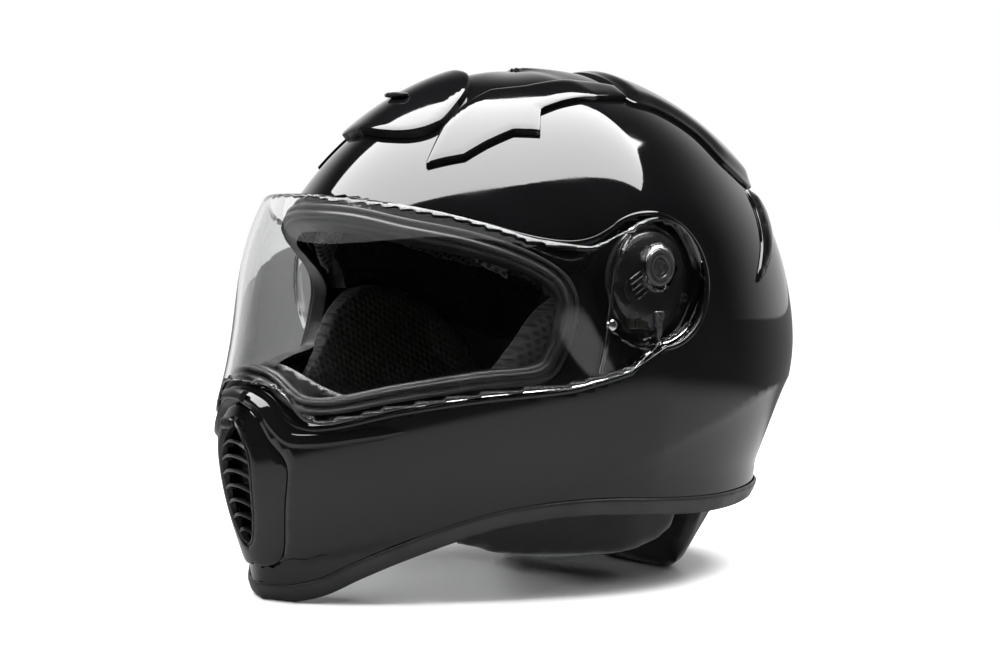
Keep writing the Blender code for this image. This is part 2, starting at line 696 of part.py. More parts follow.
def comfort_pad(name, outline):
    """A fabric-covered pad on the foam, over the part of the head that the outline covers."""
    pad = add_object(name, layer_mesh(name, HEAD, COMFORT_LAYER - GAP, LINING_FACETS), helmet, mesh_fabric)
    cut(pad, head_room)
    keep(pad, prism_tool(f"{name} outline", outline))


def make_comfort_pads():
    crown = [(-57, 300), (-57, 174), (-20, 168), (60, 150), (106, 118), (160, 110), (160, 300)]
    brow = [
        (-160, 184), (-104, 182), (-90, 172), (-75, 158), (-64, 152), (-60, 168), (-60, 300), (-160, 300),
    ]
    comfort_pad("crown_pad", crown)
    comfort_pad("brow_pad", brow)


def make_cheek_pads():
    """The thick pads along the jaw, one a side, with a tunnel for the strap."""
    for name, side in SIDES:
        mesh = layer_mesh(f"cheek_pad_{name}", OUTER, -CHEEK_INSET, LINING_FACETS)
        pad = add_object(f"cheek_pad_{name}", mesh, helmet, mesh_fabric)
        cut(pad, head_room)
        keep(pad, side_prism(f"cheek outline {name}", closed_through(CHEEK_PAD), side))
        pod_pocket(pad, name, side)
        channel = band_about(strap_route(side), 6.4)
        low, high = STRAP_Y - STRAP_WIDTH / 2 - 2 * MM, STRAP_Y + STRAP_WIDTH / 2 + 2 * MM
        cut(pad, prism_tool(f"strap tunnel {name}", channel, low, high, "Y"))


def make_neck_roll():
    """The padded roll round the nape, which the back of the helmet stands on."""
    mesh = layer_mesh("neck_roll", OUTER, -CHEEK_INSET, LINING_FACETS)
    roll = add_object("neck_roll", mesh, helmet, mesh_fabric)
    cut(roll, head_room)
    keep(roll, prism_tool("neck roll outline", NECK_ROLL))


def make_breath_guard():
    """The deflector that stands up inside the chin, in front of the nose."""
    mesh = layer_mesh("breath_guard", OUTER, -GASKET_DEPTH - 1 * MM)
    guard = add_object("breath_guard", mesh, helmet, black_plastic)
    cut(guard, layer_tool("breath guard back", OUTER, -GASKET_DEPTH - 3.4 * MM))
    outline = [
        (-178, 96), (-178, 121), (-160, 121), (-152, 116), (-143, 105), (-132, 99.5), (-112, 99),
        (-112, 93), (-130, 90.5), (-146, 86), (-160, 84), (-170, 90),
    ]
    keep(guard, prism_tool("breath guard outline", outline))


def make_visor():
    """The clear shield, bored at its two ears for the hubs it turns on."""
    outside = layer_mesh("visor", visor_form, VISOR_WALL, VISOR_FACETS, flat_ear(EAR_INNER_X + VISOR_WALL))
    visor = add_object("visor", outside, helmet, clear_plastic)
    inside = layer_mesh("visor inner face", visor_form, 0, VISOR_FACETS, flat_ear(EAR_INNER_X))
    cut(visor, add_object("visor inner face", inside, cutters))
    keep(visor, prism_tool("visor edge", visor_outline()))
    for name, side in SIDES:
        cut(visor, pod_tool(f"{name} ear hole", HUB_RADIUS + GAP, 0.1, BESIDE_X, side, PIVOT_Y, PIVOT_Z))
        hole = pod_tool(f"{name} rivet hole", RIVET_RADIUS + GAP, 0.1, BESIDE_X, side, RIVET_Y, RIVET_Z)
        cut(visor, hole)


def make_visor_rivets():
    """The rivet in each ear, that stiffens the clear shield behind its step."""
    for name, side in SIDES:
        face = (EAR_INNER_X + VISOR_WALL + GAP) * side
        node, start, end = f"visor_rivet_{name}", face - VISOR_WALL * side, face + 0.6 * MM * side
        shank = cylinder_mesh(node, RIVET_RADIUS, start, end, RIVET_Y, RIVET_Z, 16)
        rivet = add_object(node, shank, helmet, steel)
        end = face + RIVET_RISE * side
        head = cylinder_mesh(f"{node} head", RIVET_HEAD, face, end, RIVET_Y, RIVET_Z, 16, RIVET_TOP)
        join(rivet, add_object(f"{node} head", head, cutters))


def make_visor_tab():
    """The tab at the middle of the visor's lower edge, lifted with a thumb."""
    half, low, high = TAB_SIZE
    back = VISOR_LIFT + VISOR_WALL + TAB_BACK
    tab = add_object("visor_tab", layer_mesh("visor_tab", OUTER, back + TAB_THICK), helmet, black_plastic)
    cut(tab, layer_tool("visor tab back", OUTER, back))
    edge = [(-half, low), (half, low), (half - 1, high), (1 - half, high)]
    keep(tab, prism_tool("visor tab edge", edge, *AHEAD, "Y"))


def make_pivot_base():
    """The domed plate in each pocket, with bores for its hub, its comb and its two screws."""
    foot, rim = POD_FLOOR_X + GAP, POD_FLOOR_X + GAP + BASE_RIM
    rise, wide = BASE_TOP_X - rim, BASE_RADIUS - 1.2 * MM
    dome = [(rim + rise * math.sin(a), wide * math.cos(a)) for a in map(math.radians, (2, 26, 60))]
    profile = [(foot, BASE_RADIUS), (rim, BASE_RADIUS), *dome]
    for name, side in SIDES:
        mesh = turned_mesh(f"pivot_base_{name}", profile, POD_Y, POD_Z, side, 28)
        base = add_object(f"pivot_base_{name}", mesh, helmet, grey_plastic)
        cut(base, pod_tool(f"hub bore {name}", HUB_RADIUS + GAP, 0.1, BESIDE_X, side, PIVOT_Y, PIVOT_Z))
        floor = COMB_FLOOR_X - GAP
        cut(base, pod_tool(f"comb seat {name}", COMB_RADIUS + GAP, floor, BESIDE_X, side, COMB_Y, COMB_Z))
        cut(base, lever_seat(name, side))
        for (y, z), spot in zip(BASE_SCREWS, ("front", "rear")):
            cut(base, pod_tool(f"screw bore {name} {spot}", SCREW_RADIUS + GAP, 0.1, BESIDE_X, side, y, z))


def turned_mesh(name, profile, y, z, side, facets):
    """A closed piece turned about an axis along X, from (x, radius) pairs running outward."""
    shape = bmesh.new()
    rings = []
    for x, radius in profile:
        angles = [2 * math.pi * i / facets for i in range(facets)]
        ring = [(x * side, y + radius * math.cos(a), z + radius * math.sin(a)) for a in angles]
        rings.append([shape.verts.new(spot) for spot in ring])
    for inner, outer in zip(rings, rings[1:]):
        for i in range(facets):
            shape.faces.new((inner[i], inner[i - 1], outer[i - 1], outer[i]))
    shape.faces.new(rings[0])
    shape.faces.new(rings[-1])
    return mesh_from(shape, name)


def make_base_screws():
    """The two screws that hold each pivot base to the shell."""
    for name, side in SIDES:
        for (y, z), spot in zip(BASE_SCREWS, ("front", "rear")):
            node = f"base_screw_{name}_{spot}"
            start = (POD_FLOOR_X + GAP) * side
            mesh = cylinder_mesh(node, SCREW_RADIUS, start, start + 3.6 * MM * side, y, z, 16)
            screw = add_object(node, mesh, helmet, steel)
            slot = box_mesh(f"{node} slot", (1.6 * MM, 4 * MM, 0.9 * MM), (start + 3.6 * MM * side, y, z))
            cut(screw, add_object(f"{node} slot", slot, cutters))


def make_hubs():
    """The round hub that each visor ear turns on, ringed on its face, with a screw at its middle."""
    start, end = POD_FLOOR_X + GAP, EAR_INNER_X + VISOR_WALL + 1.2 * MM
    well = HUB_SCREW_RADIUS + GAP
    profile = [
        (start, HUB_RADIUS), (end - 0.6 * MM, HUB_RADIUS), (end, HUB_RADIUS - 0.6 * MM),
        (end, 7.4 * MM), (end - 0.8 * MM, 7.2 * MM), (end - 0.8 * MM, 6.4 * MM), (end, 6.2 * MM),
        (end, well), (end - 5 * MM, well),
    ]
    for name, side in SIDES:
        node = f"pivot_hub_{name}"
        add_object(node, turned_mesh(node, profile, PIVOT_Y, PIVOT_Z, side, 20), helmet, grey_plastic)
        node, low, high = f"hub_screw_{name}", (end - 4.6 * MM) * side, (end - 0.6 * MM) * side
        screw = cylinder_mesh(node, HUB_SCREW_RADIUS, low, high, PIVOT_Y, PIVOT_Z, 24)
        add_object(node, screw, helmet, grey_plastic)


def make_combs():
    """The ribbed detent that holds the visor at each step."""
    for name, side in SIDES:
        node = f"ratchet_comb_{name}"
        start, end = COMB_FLOOR_X * side, (BASE_TOP_X - 1.4 * MM) * side
        mesh = cylinder_mesh(node, COMB_RADIUS, start, end, COMB_Y, COMB_Z, 20)
        comb = add_object(node, mesh, helmet, black_plastic)
        for rib in range(4):
            offset = (rib - 1.5) * 2.9 * MM
            groove = box_mesh(f"{node} groove {rib + 1}", (1.6 * MM, 16 * MM, 1.4 * MM), (0, 0, offset))
            tilt = Matrix.Rotation(COMB_TILT, 4, "X")
            groove.transform(Matrix.Translation((end, COMB_Y, COMB_Z)) @ tilt)
            cut(comb, add_object(f"{node} groove {rib + 1}", groove, cutters))


def lever_seat(name, side):
    """Room in the pivot base for the release lever and its swing."""
    swing = ((-7, 7), (7.5, 7), (11, -16), (7, -27), (-7, -27), (-11, -16))
    outline = [(LEVER_Y / MM + y, LEVER_Z / MM + z) for y, z in swing]
    inner = LEVER_TOP_X - LEVER_THICK - 0.8 * MM
    ends = sorted((inner * side, BESIDE_X * side))
    return prism_tool(f"lever seat {name}", outline, *ends)


def make_release_levers():
    """The sprung lever that frees the visor from its hub, turning on its round top end."""
    for name, side in SIDES:
        node = f"release_lever_{name}"
        tip = -LEVER_LENGTH / MM
        blade = [(-3.2, tip * 0.3), (-0.9, tip), (0.9, tip), (3.2, tip * 0.3)]
        outline = arc((0, 0), 3.6, 0, 180, 8) + blade
        ends = sorted((-LEVER_THICK / 2, LEVER_THICK / 2))
        lever = add_object(node, prism_mesh(node, outline, *ends), helmet, clear_plastic)
        lever.location = ((LEVER_TOP_X - LEVER_THICK / 2) * side, LEVER_Y, LEVER_Z)


def make_crown_scoop():
    """The hooded air intake at the front of the crown, open forwards and down to the shell's vent."""
    scoop = add_object("crown_scoop", layer_mesh("crown_scoop", OUTER, SCOOP_HEIGHT), helmet, black_gloss)
    cut(scoop, layer_tool("scoop foot", OUTER, NODE_GAP))
    keep(scoop, prism_tool("scoop edge", mirrored(SCOOP_EDGE), *ABOVE, "Z"))
    mouth = layer_tool("scoop mouth", OUTER, SCOOP_HEIGHT - 1.8 * MM)
    opening = [(-26, -110), (26, -110), (22, -64), (-22, -64)]
    keep(mouth, prism_tool("scoop mouth edge", opening, *ABOVE, "Z"))
    cut(scoop, mouth)


def make_crown_slider():
    """The slider on the scoop that opens and shuts the crown vent; it travels up the slope."""
    _, long, thick = CROWN_SLIDER
    front, back = CROWN_SLIDER_Y - long / 2, CROWN_SLIDER_Y + long / 2
    slope = math.atan2(top_z(back) - top_z(front), long)
    rise = SCOOP_HEIGHT + 0.6 * MM + thick / 2
    mesh = box_mesh("crown_vent_slider", CROWN_SLIDER)
    slider = add_object("crown_vent_slider", mesh, helmet, black_plastic)
    z = top_z(CROWN_SLIDER_Y) + rise * math.cos(slope)
    slider.location = (0, CROWN_SLIDER_Y - rise * math.sin(slope), z)
    slider.rotation_euler = (slope, 0, 0)
    round_edges(slider, 0.9 * MM)


def raised_layer(name, outline, height, facing, low, high):
    panel = add_object(name, layer_mesh(name, OUTER, height), helmet, black_gloss)
    cut(panel, layer_tool(f"{name} foot", OUTER, NODE_GAP))
    keep(panel, prism_tool(f"{name} edge", outline, low, high, facing))


def make_crown_panels():
    """The blade-shaped panels beside the scoop, the spoiler behind them and the vent blades below it."""
    for name, side in SIDES:
        wing = [(x * side, y) for x, y in WING_PANEL]
        raised_layer(f"wing_panel_{name}", wing, WING_HEIGHT, "Z", *ABOVE)
        ends = sorted((2 * MM * side, 200 * MM * side))
        raised_layer(f"exhaust_blade_{name}", EXHAUST_BLADE, BLADE_HEIGHT, "X", *ends)
    raised_layer("rear_spoiler", mirrored(SPOILER_EDGE), SPOILER_HEIGHT, "Z", *ABOVE)


def strap_x(z, depth):
    """How far out the strap lies at a height, both its edges clear of the shell."""
    edges = (STRAP_Y - STRAP_WIDTH / 2, STRAP_Y + STRAP_WIDTH / 2)
    return min(side_x(y, z * MM) for y in edges) / MM - SHELL_WALL / MM - depth


def strap_route(side):
    hanging = tuple((strap_x(z, depth), z) for z, depth in STRAP_BACKS)
    return [(x * side, z) for x, z in through(hanging + STRAP_CROSSING, 2)]


def band_about(route, thickness):
    """A closed outline of even thickness along an open route."""
    spots = [Vector(p) for p in route]
    above, below = [], []
    for i, here in enumerate(spots):
        along = (spots[min(i + 1, len(spots) - 1)] - spots[max(i - 1, 0)]).normalized()
        across = Vector((-along.y, along.x)) * thickness / 2
        above.append(tuple(here + across))
        below.append(tuple(here - across))
    return above + below[::-1]


def make_straps():
    """The webbing chin strap in two halves, riveted inside the shell and closed by the buckle."""
    low, high = STRAP_Y - STRAP_WIDTH / 2, STRAP_Y + STRAP_WIDTH / 2
    for name, side in SIDES:
        route = strap_route(side) if side > 0 else strap_route(side) + [(-22, 36.8)]
        band = band_about(route, STRAP_THICK / MM)
        mesh = prism_mesh(f"strap_{name}", band, low, high, "Y")
        strap = add_object(f"strap_{name}", mesh, helmet, webbing)
        cut(strap, anchor_hole(name, side))
        plate_run = [(strap_x(z, depth + 2.3) * side, z) for z, depth in STRAP_BACKS[:2]]
        node, edge = f"anchor_plate_{name}", 3 * MM
        mesh = prism_mesh(node, band_about(plate_run, 1.4), low + edge, high - edge, "Y")
        plate = add_object(node, mesh, helmet, steel)
        cut(plate, anchor_hole(name, side))
        middle = strap_x(STRAP_ANCHOR_Z, STRAP_BACKS[1][1]) * MM
        node, inner, outer = f"anchor_rivet_{name}", (middle - 3.2 * MM) * side, (middle + 1 * MM) * side
        rivet = cylinder_mesh(node, ANCHOR_RADIUS, inner, outer, STRAP_Y, STRAP_ANCHOR_Z * MM, 20)
        add_object(node, rivet, helmet, steel)


def anchor_hole(name, side):
    hole, radius = f"anchor hole {name}", ANCHOR_RADIUS + GAP
    made = bpy.data.objects.get(hole)
    start = strap_x(STRAP_ANCHOR_Z, STRAP_BACKS[1][1]) * MM - 12 * MM
    return made or pod_tool(hole, radius, start, BESIDE_X, side, STRAP_Y, STRAP_ANCHOR_Z * MM)


def make_buckle():
    """The ratchet buckle: a channel on the left strap, a sprung lever, and the right strap's tongue."""
    floor = BUCKLE_Z - 3.6 * MM
    mesh = box_mesh("buckle_body", BUCKLE_BODY, (14 * MM, STRAP_Y, floor + 3 * MM))
    body = add_object("buckle_body", mesh, helmet, steel)
    channel = box_mesh("buckle channel", BUCKLE_CHANNEL, (14 * MM, STRAP_Y, floor + 6.3 * MM))
    cut(body, add_object("buckle channel", channel, cutters))
    pin_z = floor + 5.2 * MM
    place = Matrix.Translation((BUCKLE_PIN_X, STRAP_Y, pin_z)) @ Matrix.Rotation(math.radians(90), 4, "Z")
    pin = cylinder_mesh("buckle_pin", BUCKLE_PIN_RADIUS, -15 * MM, 15 * MM, 0, 0, 16)
    pin.transform(place)
    add_object("buckle_pin", pin, helmet, steel)
    bore = cylinder_mesh("buckle bore", BUCKLE_PIN_RADIUS + GAP, -30 * MM, 30 * MM, 0, 0, 16)
    bore.transform(place)
    bore = add_object("buckle bore", bore, cutters)
    cut(body, bore)
    mesh = box_mesh("buckle_lever", BUCKLE_LEVER, (12.6 * MM, STRAP_Y, pin_z))
    lever = add_object("buckle_lever", mesh, helmet, steel)
    cut(lever, bore)
    tongue = box_mesh("ratchet_tongue", TONGUE, (-2 * MM, STRAP_Y, floor + 1.4 * MM))
    add_object("ratchet_tongue", tongue, helmet, black_plastic)


make_shell()
make_chin_panel()
make_chin_grille()
make_chin_slider()
make_trim()
make_gasket()
make_crown_liner()
make_chin_liner()
make_comfort_pads()
make_cheek_pads()
make_neck_roll()
make_breath_guard()
make_visor()
make_visor_rivets()
make_visor_tab()
make_pivot_base()
make_base_screws()
make_hubs()
make_combs()
make_release_levers()
make_crown_scoop()
make_crown_slider()
make_crown_panels()
make_straps()
make_buckle()
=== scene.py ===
import math

import bmesh
import bpy
import numpy as np
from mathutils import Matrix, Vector
from mathutils.geometry import delaunay_2d_cdt
from mathutils.kdtree import KDTree


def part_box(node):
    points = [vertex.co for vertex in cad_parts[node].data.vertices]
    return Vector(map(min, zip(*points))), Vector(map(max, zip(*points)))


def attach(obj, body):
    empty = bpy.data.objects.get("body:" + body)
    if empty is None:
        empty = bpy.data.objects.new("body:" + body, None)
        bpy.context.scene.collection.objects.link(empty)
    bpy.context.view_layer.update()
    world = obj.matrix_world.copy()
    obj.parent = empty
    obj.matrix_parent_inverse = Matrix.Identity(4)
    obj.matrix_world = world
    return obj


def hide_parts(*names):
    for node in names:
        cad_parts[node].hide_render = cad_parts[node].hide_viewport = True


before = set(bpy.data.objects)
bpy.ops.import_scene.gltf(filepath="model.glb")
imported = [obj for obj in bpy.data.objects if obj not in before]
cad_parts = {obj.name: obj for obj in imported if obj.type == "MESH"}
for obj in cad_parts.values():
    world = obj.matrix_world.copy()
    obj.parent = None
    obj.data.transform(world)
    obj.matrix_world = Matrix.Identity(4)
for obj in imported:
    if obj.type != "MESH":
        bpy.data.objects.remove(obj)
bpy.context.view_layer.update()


# ---------------------------------------------------------------- camera, floor and studio light
# The helmet stands alone on a white sweep, under one long softbox hung close above it.
# A pale wall behind it edges the back of the shell with light, and the room is otherwise dark.

MM = 0.001
REACH_REAR = 165 * MM  # from the crown's axis back to the rearmost point of the shell
crown_axis = Vector((0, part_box("outer_shell")[1].y - REACH_REAR, 0))


def aim(thing, at):
    thing.rotation_euler = (Vector(at) - thing.location).to_track_quat("-Z", "Y").to_euler()


lens = bpy.data.cameras.new("camera")
lens.sensor_width = 36
lens.lens = 78.48
lens.shift_x = -0.012
lens.shift_y = -0.0205
lens.clip_start = 0.05
camera = bpy.data.objects.new("camera", lens)
bpy.context.scene.collection.objects.link(camera)
camera.location = crown_axis + Vector((887.4, -731.5, 182)) * MM
aim(camera, crown_axis + Vector((0, 0, 135 * MM)))
bpy.context.scene.camera = camera
bpy.context.scene.view_settings.view_transform = "Standard"

SOFTBOX_HEIGHT = 1.6
SOFTBOX_SIZE = (2.45, 1.2)
SOFTBOX_TURN = math.radians(-120)
SOFTBOX_POWER = 128
BOUNCE_POWER = 4.3
BOUNCE_SPREAD = math.radians(120)


def studio_light(name, kind, power, **settings):
    data = bpy.data.lights.new(name, kind)
    data.energy = power
    for key, value in settings.items():
        setattr(data, key, value)
    lamp = bpy.data.objects.new(name, data)
    bpy.context.scene.collection.objects.link(lamp)
    return lamp


softbox = studio_light("softbox", "AREA", SOFTBOX_POWER, shape="RECTANGLE", size=SOFTBOX_SIZE[0],
                       size_y=SOFTBOX_SIZE[1])
softbox.location = (0, 0, SOFTBOX_HEIGHT)
softbox.rotation_euler = (0, 0, SOFTBOX_TURN)
bounce = studio_light("ceiling bounce", "SUN", BOUNCE_POWER, angle=BOUNCE_SPREAD)
bounce.visible_glossy = False

room = bpy.data.worlds.new("studio")
bpy.context.scene.world = room
room.use_nodes = True


def feed(tree, socket, value):
    """Links a socket to another one, or gives it a value."""
    if isinstance(value, bpy.types.NodeSocket):
        tree.links.new(value, socket)
    else:
        socket.default_value = value


def node(tree, kind, **inputs):
    """Adds a node, with its values and links given by socket name, or by number as n0, n1 and so on."""
    made = tree.nodes.new(kind)
    for key, value in inputs.items():
        numbered = key[0] == "n" and key[1:].isdigit()
        feed(tree, made.inputs[int(key[1:]) if numbered else key.replace("_", " ")], value)
    return made


def maths(tree, operation, *values):
    made = node(tree, "ShaderNodeMath", **{f"n{i}": value for i, value in enumerate(values)})
    made.operation = operation
    return made.outputs[0]


def ease(tree, value, low, high):
    """0 below low, 1 above high, and smooth between them."""
    made = node(tree, "ShaderNodeMapRange", Value=value, From_Min=low, From_Max=high)
    made.interpolation_type = "SMOOTHSTEP"
    return made.outputs[0]


def light_the_room(tree):
    tree.nodes.clear()
    way = node(tree, "ShaderNodeTexCoord").outputs["Generated"]
    x, y, z = node(tree, "ShaderNodeSeparateXYZ", Vector=way).outputs
    # the wall's middle is straight behind the helmet as the camera sees it
    behind = maths(tree, "ADD", maths(tree, "MULTIPLY", x, -0.80), maths(tree, "MULTIPLY", y, 0.60))
    below_top = maths(tree, "SUBTRACT", 1.0, ease(tree, z, 0.3, 0.75))
    wall = maths(tree, "MULTIPLY", ease(tree, behind, 0.15, 0.75), below_top)
    glow = maths(tree, "MULTIPLY_ADD", wall, 0.9, 0.004)
    dim = node(tree, "ShaderNodeBackground", Color=(1, 1, 1, 1), Strength=glow)
    seen = node(tree, "ShaderNodeBackground", Color=(1, 1, 1, 1), Strength=1.0)
    direct = node(tree, "ShaderNodeLightPath").outputs["Is Camera Ray"]
    mix = node(tree, "ShaderNodeMixShader", n0=direct, n1=dim.outputs[0], n2=seen.outputs[0])
    node(tree, "ShaderNodeOutputWorld", Surface=mix.outputs[0])


light_the_room(room.node_tree)


def finish_of(name):
    """A new material, as (material, its nodes, its shader)."""
    made = bpy.data.materials.new(name)
    made.use_nodes = True
    tree = made.node_tree
    return made, tree, tree.nodes["Principled BSDF"]


def place_of(tree):
    """The point on the object, in metres."""
    return node(tree, "ShaderNodeTexCoord").outputs["Object"]


def bump(tree, shader, height, depth, strength):
    made = node(tree, "ShaderNodeBump", Height=height, Distance=depth, Strength=strength)
    tree.links.new(made.outputs[0], shader.inputs["Normal"])


def grain(tree, scale, detail):
    """Noise over the object; a higher scale is finer."""
    return node(tree, "ShaderNodeTexNoise", Vector=place_of(tree), Scale=scale, Detail=detail).outputs[0]


def blotches(tree, scale, low, high):
    """A soft random value between low and high, over the object."""
    return node(tree, "ShaderNodeMapRange", Value=grain(tree, scale, 3.0), From_Min=0.3, From_Max=0.7,
                To_Min=low, To_Max=high).outputs[0]


def mixed(tree, share, first, second):
    """A colour that goes from the first to the second as share goes from 0 to 1."""
    made = node(tree, "ShaderNodeMix", Factor=share)
    made.data_type = "RGBA"
    feed(tree, made.inputs[6], first)
    feed(tree, made.inputs[7], second)
    return made.outputs[2]


def mottled(tree, scale, dark, light):
    """A colour that wanders between two in soft blotches."""
    return mixed(tree, blotches(tree, scale, 0.0, 1.0), (*dark, 1), (*light, 1))


def white_sweep():
    made, tree, shader = finish_of("matt white sweep")
    tone = mottled(tree, 3.0, (0.80, 0.80, 0.80), (0.83, 0.83, 0.83))
    away = node(tree, "ShaderNodeVectorMath", n0=place_of(tree))
    away.operation = "LENGTH"
    far = ease(tree, away.outputs["Value"], 0.40, 0.58)
    painted_dark_reflection = mixed(tree, far, (0.21, 0.21, 0.215, 1), (0.01, 0.01, 0.01, 1))
    # painted shade: what the lacquer mirrors is the floor painted dark grey, going near black about half a
    # metre off, to dim its reflection in the shell
    reflected = node(tree, "ShaderNodeLightPath").outputs["Is Glossy Ray"]
    feed(tree, shader.inputs["Base Color"], mixed(tree, reflected, tone, painted_dark_reflection))
    shader.inputs["Roughness"].default_value = 0.35
    shader.inputs["Specular IOR Level"].default_value = 0.25
    return made


floor_mesh = bmesh.new()
bmesh.ops.create_grid(floor_mesh, x_segments=4, y_segments=4, size=30)
floor_data = bpy.data.meshes.new("floor")
floor_mesh.to_mesh(floor_data)
floor_mesh.free()
floor = bpy.data.objects.new("floor", floor_data)
bpy.context.scene.collection.objects.link(floor)
floor_data.materials.append(white_sweep())


# ---------------------------------------------------------------- outer shell
# The hard skin of the helmet: fibre laid up in a mould, sanded and sprayed black, with a deep clear coat.
# It is stepped down round the eyeport for the visor, with a round pocket at each ear for its hinge.

CENTRE_HEIGHT = 128  # mm above the floor, where the shell's radii are taken from
CENTRE = crown_axis + Vector((0, 0, CENTRE_HEIGHT * MM))
REACH_FRONT = 174 * MM
CROWN_RISE = 134 * MM
PAST_END = 215  # mm either way from the crown's axis, where an outline is clear of the helmet
side_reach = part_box("outer_shell")[1].x


def spline(places, values):
    """A natural cubic through the values, level outside its ends, for arrays."""
    x, y = np.array(places, float), np.array(values, float)
    h, count = np.diff(x), len(x)
    rows, right = np.eye(count), np.zeros(count)
    for i in range(1, count - 1):
        rows[i, i - 1 : i + 2] = h[i - 1], 2 * (h[i - 1] + h[i]), h[i]
        right[i] = 6 * ((y[i + 1] - y[i]) / h[i] - (y[i] - y[i - 1]) / h[i - 1])
    bend = np.linalg.solve(rows, right)

    def value(at):
        at = np.clip(at, x[0], x[-1])
        i = np.clip(np.searchsorted(x, at) - 1, 0, count - 2)
        left, past, width = x[i + 1] - at, at - x[i], h[i]
        curved = (bend[i] * left**3 + bend[i + 1] * past**3) / (6 * width)
        before = (y[i] / width - bend[i] * width / 6) * left
        return curved + before + (y[i + 1] / width - bend[i + 1] * width / 6) * past

    return value


def profile(reach, points):
    """Radius from the centre against elevation, from (share of reach, height in mm), bottom to crown."""
    out = np.array([share * reach for share, _ in points] + [0])
    up = np.array([z * MM - CENTRE.z for _, z in points] + [CROWN_RISE])
    angle, radius = np.degrees(np.arctan2(up, out)), np.hypot(up, out)
    return spline([*angle, *(180 - angle[-2:-5:-1])], [*radius, *radius[-2:-5:-1]])


front_profile = profile(REACH_FRONT, (
    (0.862, -14), (0.897, 2), (0.931, 18), (0.971, 38), (1.0, 60), (1.0, 82), (0.966, 102),
    (0.902, 132), (0.833, 163), (0.73, 193), (0.592, 220), (0.414, 242), (0.207, 257)))
rear_profile = profile(REACH_REAR, (
    (0.679, 0), (0.8, 30), (0.885, 58), (0.958, 84), (1.0, 108), (0.988, 140), (0.915, 176),
    (0.758, 212), (0.539, 240), (0.279, 257)))
side_profile = profile(side_reach, (
    (0.742, -8), (0.839, 28), (0.919, 60), (0.972, 90), (1.0, 118), (0.996, 148), (0.944, 182),
    (0.806, 213), (0.565, 241), (0.282, 257)))
keel = spline((-60, -12, 5, 25, 45, 70, 90), (1.5, 1.5, 1.55, 1.6, 1.65, 1.85, 2.0))


def shell_radius(ways):
    """Distance from the centre to the shell's face, for unit directions as rows."""
    level = np.maximum(np.hypot(ways[:, 0], ways[:, 1]), 1e-9)
    height = np.degrees(np.arctan2(ways[:, 2], level))
    across, along = ways[:, 0] / level, -ways[:, 1] / level
    power = np.where(along > 0, keel(height), 2.1)
    soft = 0.12  # rounds the plan where it crosses the middle plane
    least, most = soft**power, (1 + soft**2) ** (power / 2)
    wide = ((across**2 + soft**2) ** (power / 2) - least) / (most - least)
    deep = np.where(along > 0, front_profile(height), rear_profile(height))
    return (wide / side_profile(height) ** power + np.abs(along) ** power / deep**power) ** (-1 / power)


def smooth(value, low, high):
    t = np.clip((value - low) / (high - low), 0, 1)
    return t * t * (3 - 2 * t)


MAP = 125 * MM  # the left half of the helmet is laid out flat, at this radius, round the ear


def to_map(ways):
    tilt = np.arccos(np.clip(ways[:, 0], -1, 1))
    spread = np.maximum(np.hypot(ways[:, 1], ways[:, 2]), 1e-12)
    return ways[:, 1:] / spread[:, None] * tilt[:, None] * MAP


def from_map(flat):
    spread = np.maximum(np.hypot(flat[:, 0], flat[:, 1]), 1e-12)
    tilt = spread / MAP
    ways = np.column_stack([np.cos(tilt), flat / spread[:, None] * np.sin(tilt)[:, None]])
    ways[np.abs(tilt - math.pi / 2) < 1e-7, 0] = 0
    return ways


def meet(start, way, radius=shell_radius):
    """How far rays from points inside a form go before they meet it."""
    near, far = np.zeros(len(start)), np.full(len(start), 0.4)
    for _ in range(34):
        middle = (near + far) / 2
        spot = start + way * middle[:, None]
        reach = np.linalg.norm(spot, axis=1)
        inside = reach < radius(spot / np.maximum(reach, 1e-12)[:, None])
        near, far = np.where(inside, middle, near), np.where(inside, far, middle)
    return near


VIEWS = {"side": (0, (1, 2)), "front": (1, (0, 2)), "plan": (2, (0, 1))}


def cast(points, view, radius=shell_radius):
    """Unit directions to where an outline drawn in a view, in mm from the crown's axis, falls on a form.

    Also says which of its points are over the form at all."""
    missing, kept = VIEWS[view]
    flat = np.array(points, float) * MM
    start = np.zeros((len(flat), 3))
    start[:, kept[0]] = flat[:, 0]
    start[:, kept[1]] = flat[:, 1]
    if kept[1] == 2:
        start[:, 2] -= CENTRE.z
    way = np.zeros(3)
    way[missing] = -1 if view == "front" else 1
    out = meet(start, way[None, :].repeat(len(flat), 0), radius)
    spots = start + way * out[:, None]
    size = np.linalg.norm(spots, axis=1)
    reach = np.linalg.norm(start, axis=1)
    inside = reach < radius(start / np.maximum(reach, 1e-12)[:, None])
    return spots / size[:, None], inside


def flowing(points, step=1.5, closed=False):
    """A smooth run through the points, with one every step millimetres."""
    spots = [np.array(p, float) for p in points]
    if closed:
        spots = [spots[-1], *spots, spots[0], spots[1]]
    else:
        spots = [2 * spots[0] - spots[1], *spots, 2 * spots[-1] - spots[-2]]
    run = []
    for a, b, c, d in zip(spots, spots[1:], spots[2:], spots[3:]):
        count = max(1, round(float(np.linalg.norm(c - b)) / step))
        t = (np.arange(count) / count)[:, None]
        square, cube = 2 * a - 5 * b + 4 * c - d, 3 * b - 3 * c + d - a
        run.append(0.5 * (2 * b + (c - a) * t + square * t**2 + cube * t**3))
    if not closed:
        run.append(spots[-2][None, :])
    return np.vstack(run)


def bow(middle, radius, start, end, step=1.5):
    """An arc in a view, between two angles in degrees."""
    count = max(2, round(abs(math.radians(end - start)) * radius / step))
    angle = np.radians(np.linspace(start, end, count + 1))
    return np.column_stack([middle[0] + radius * np.cos(angle), middle[1] + radius * np.sin(angle)])


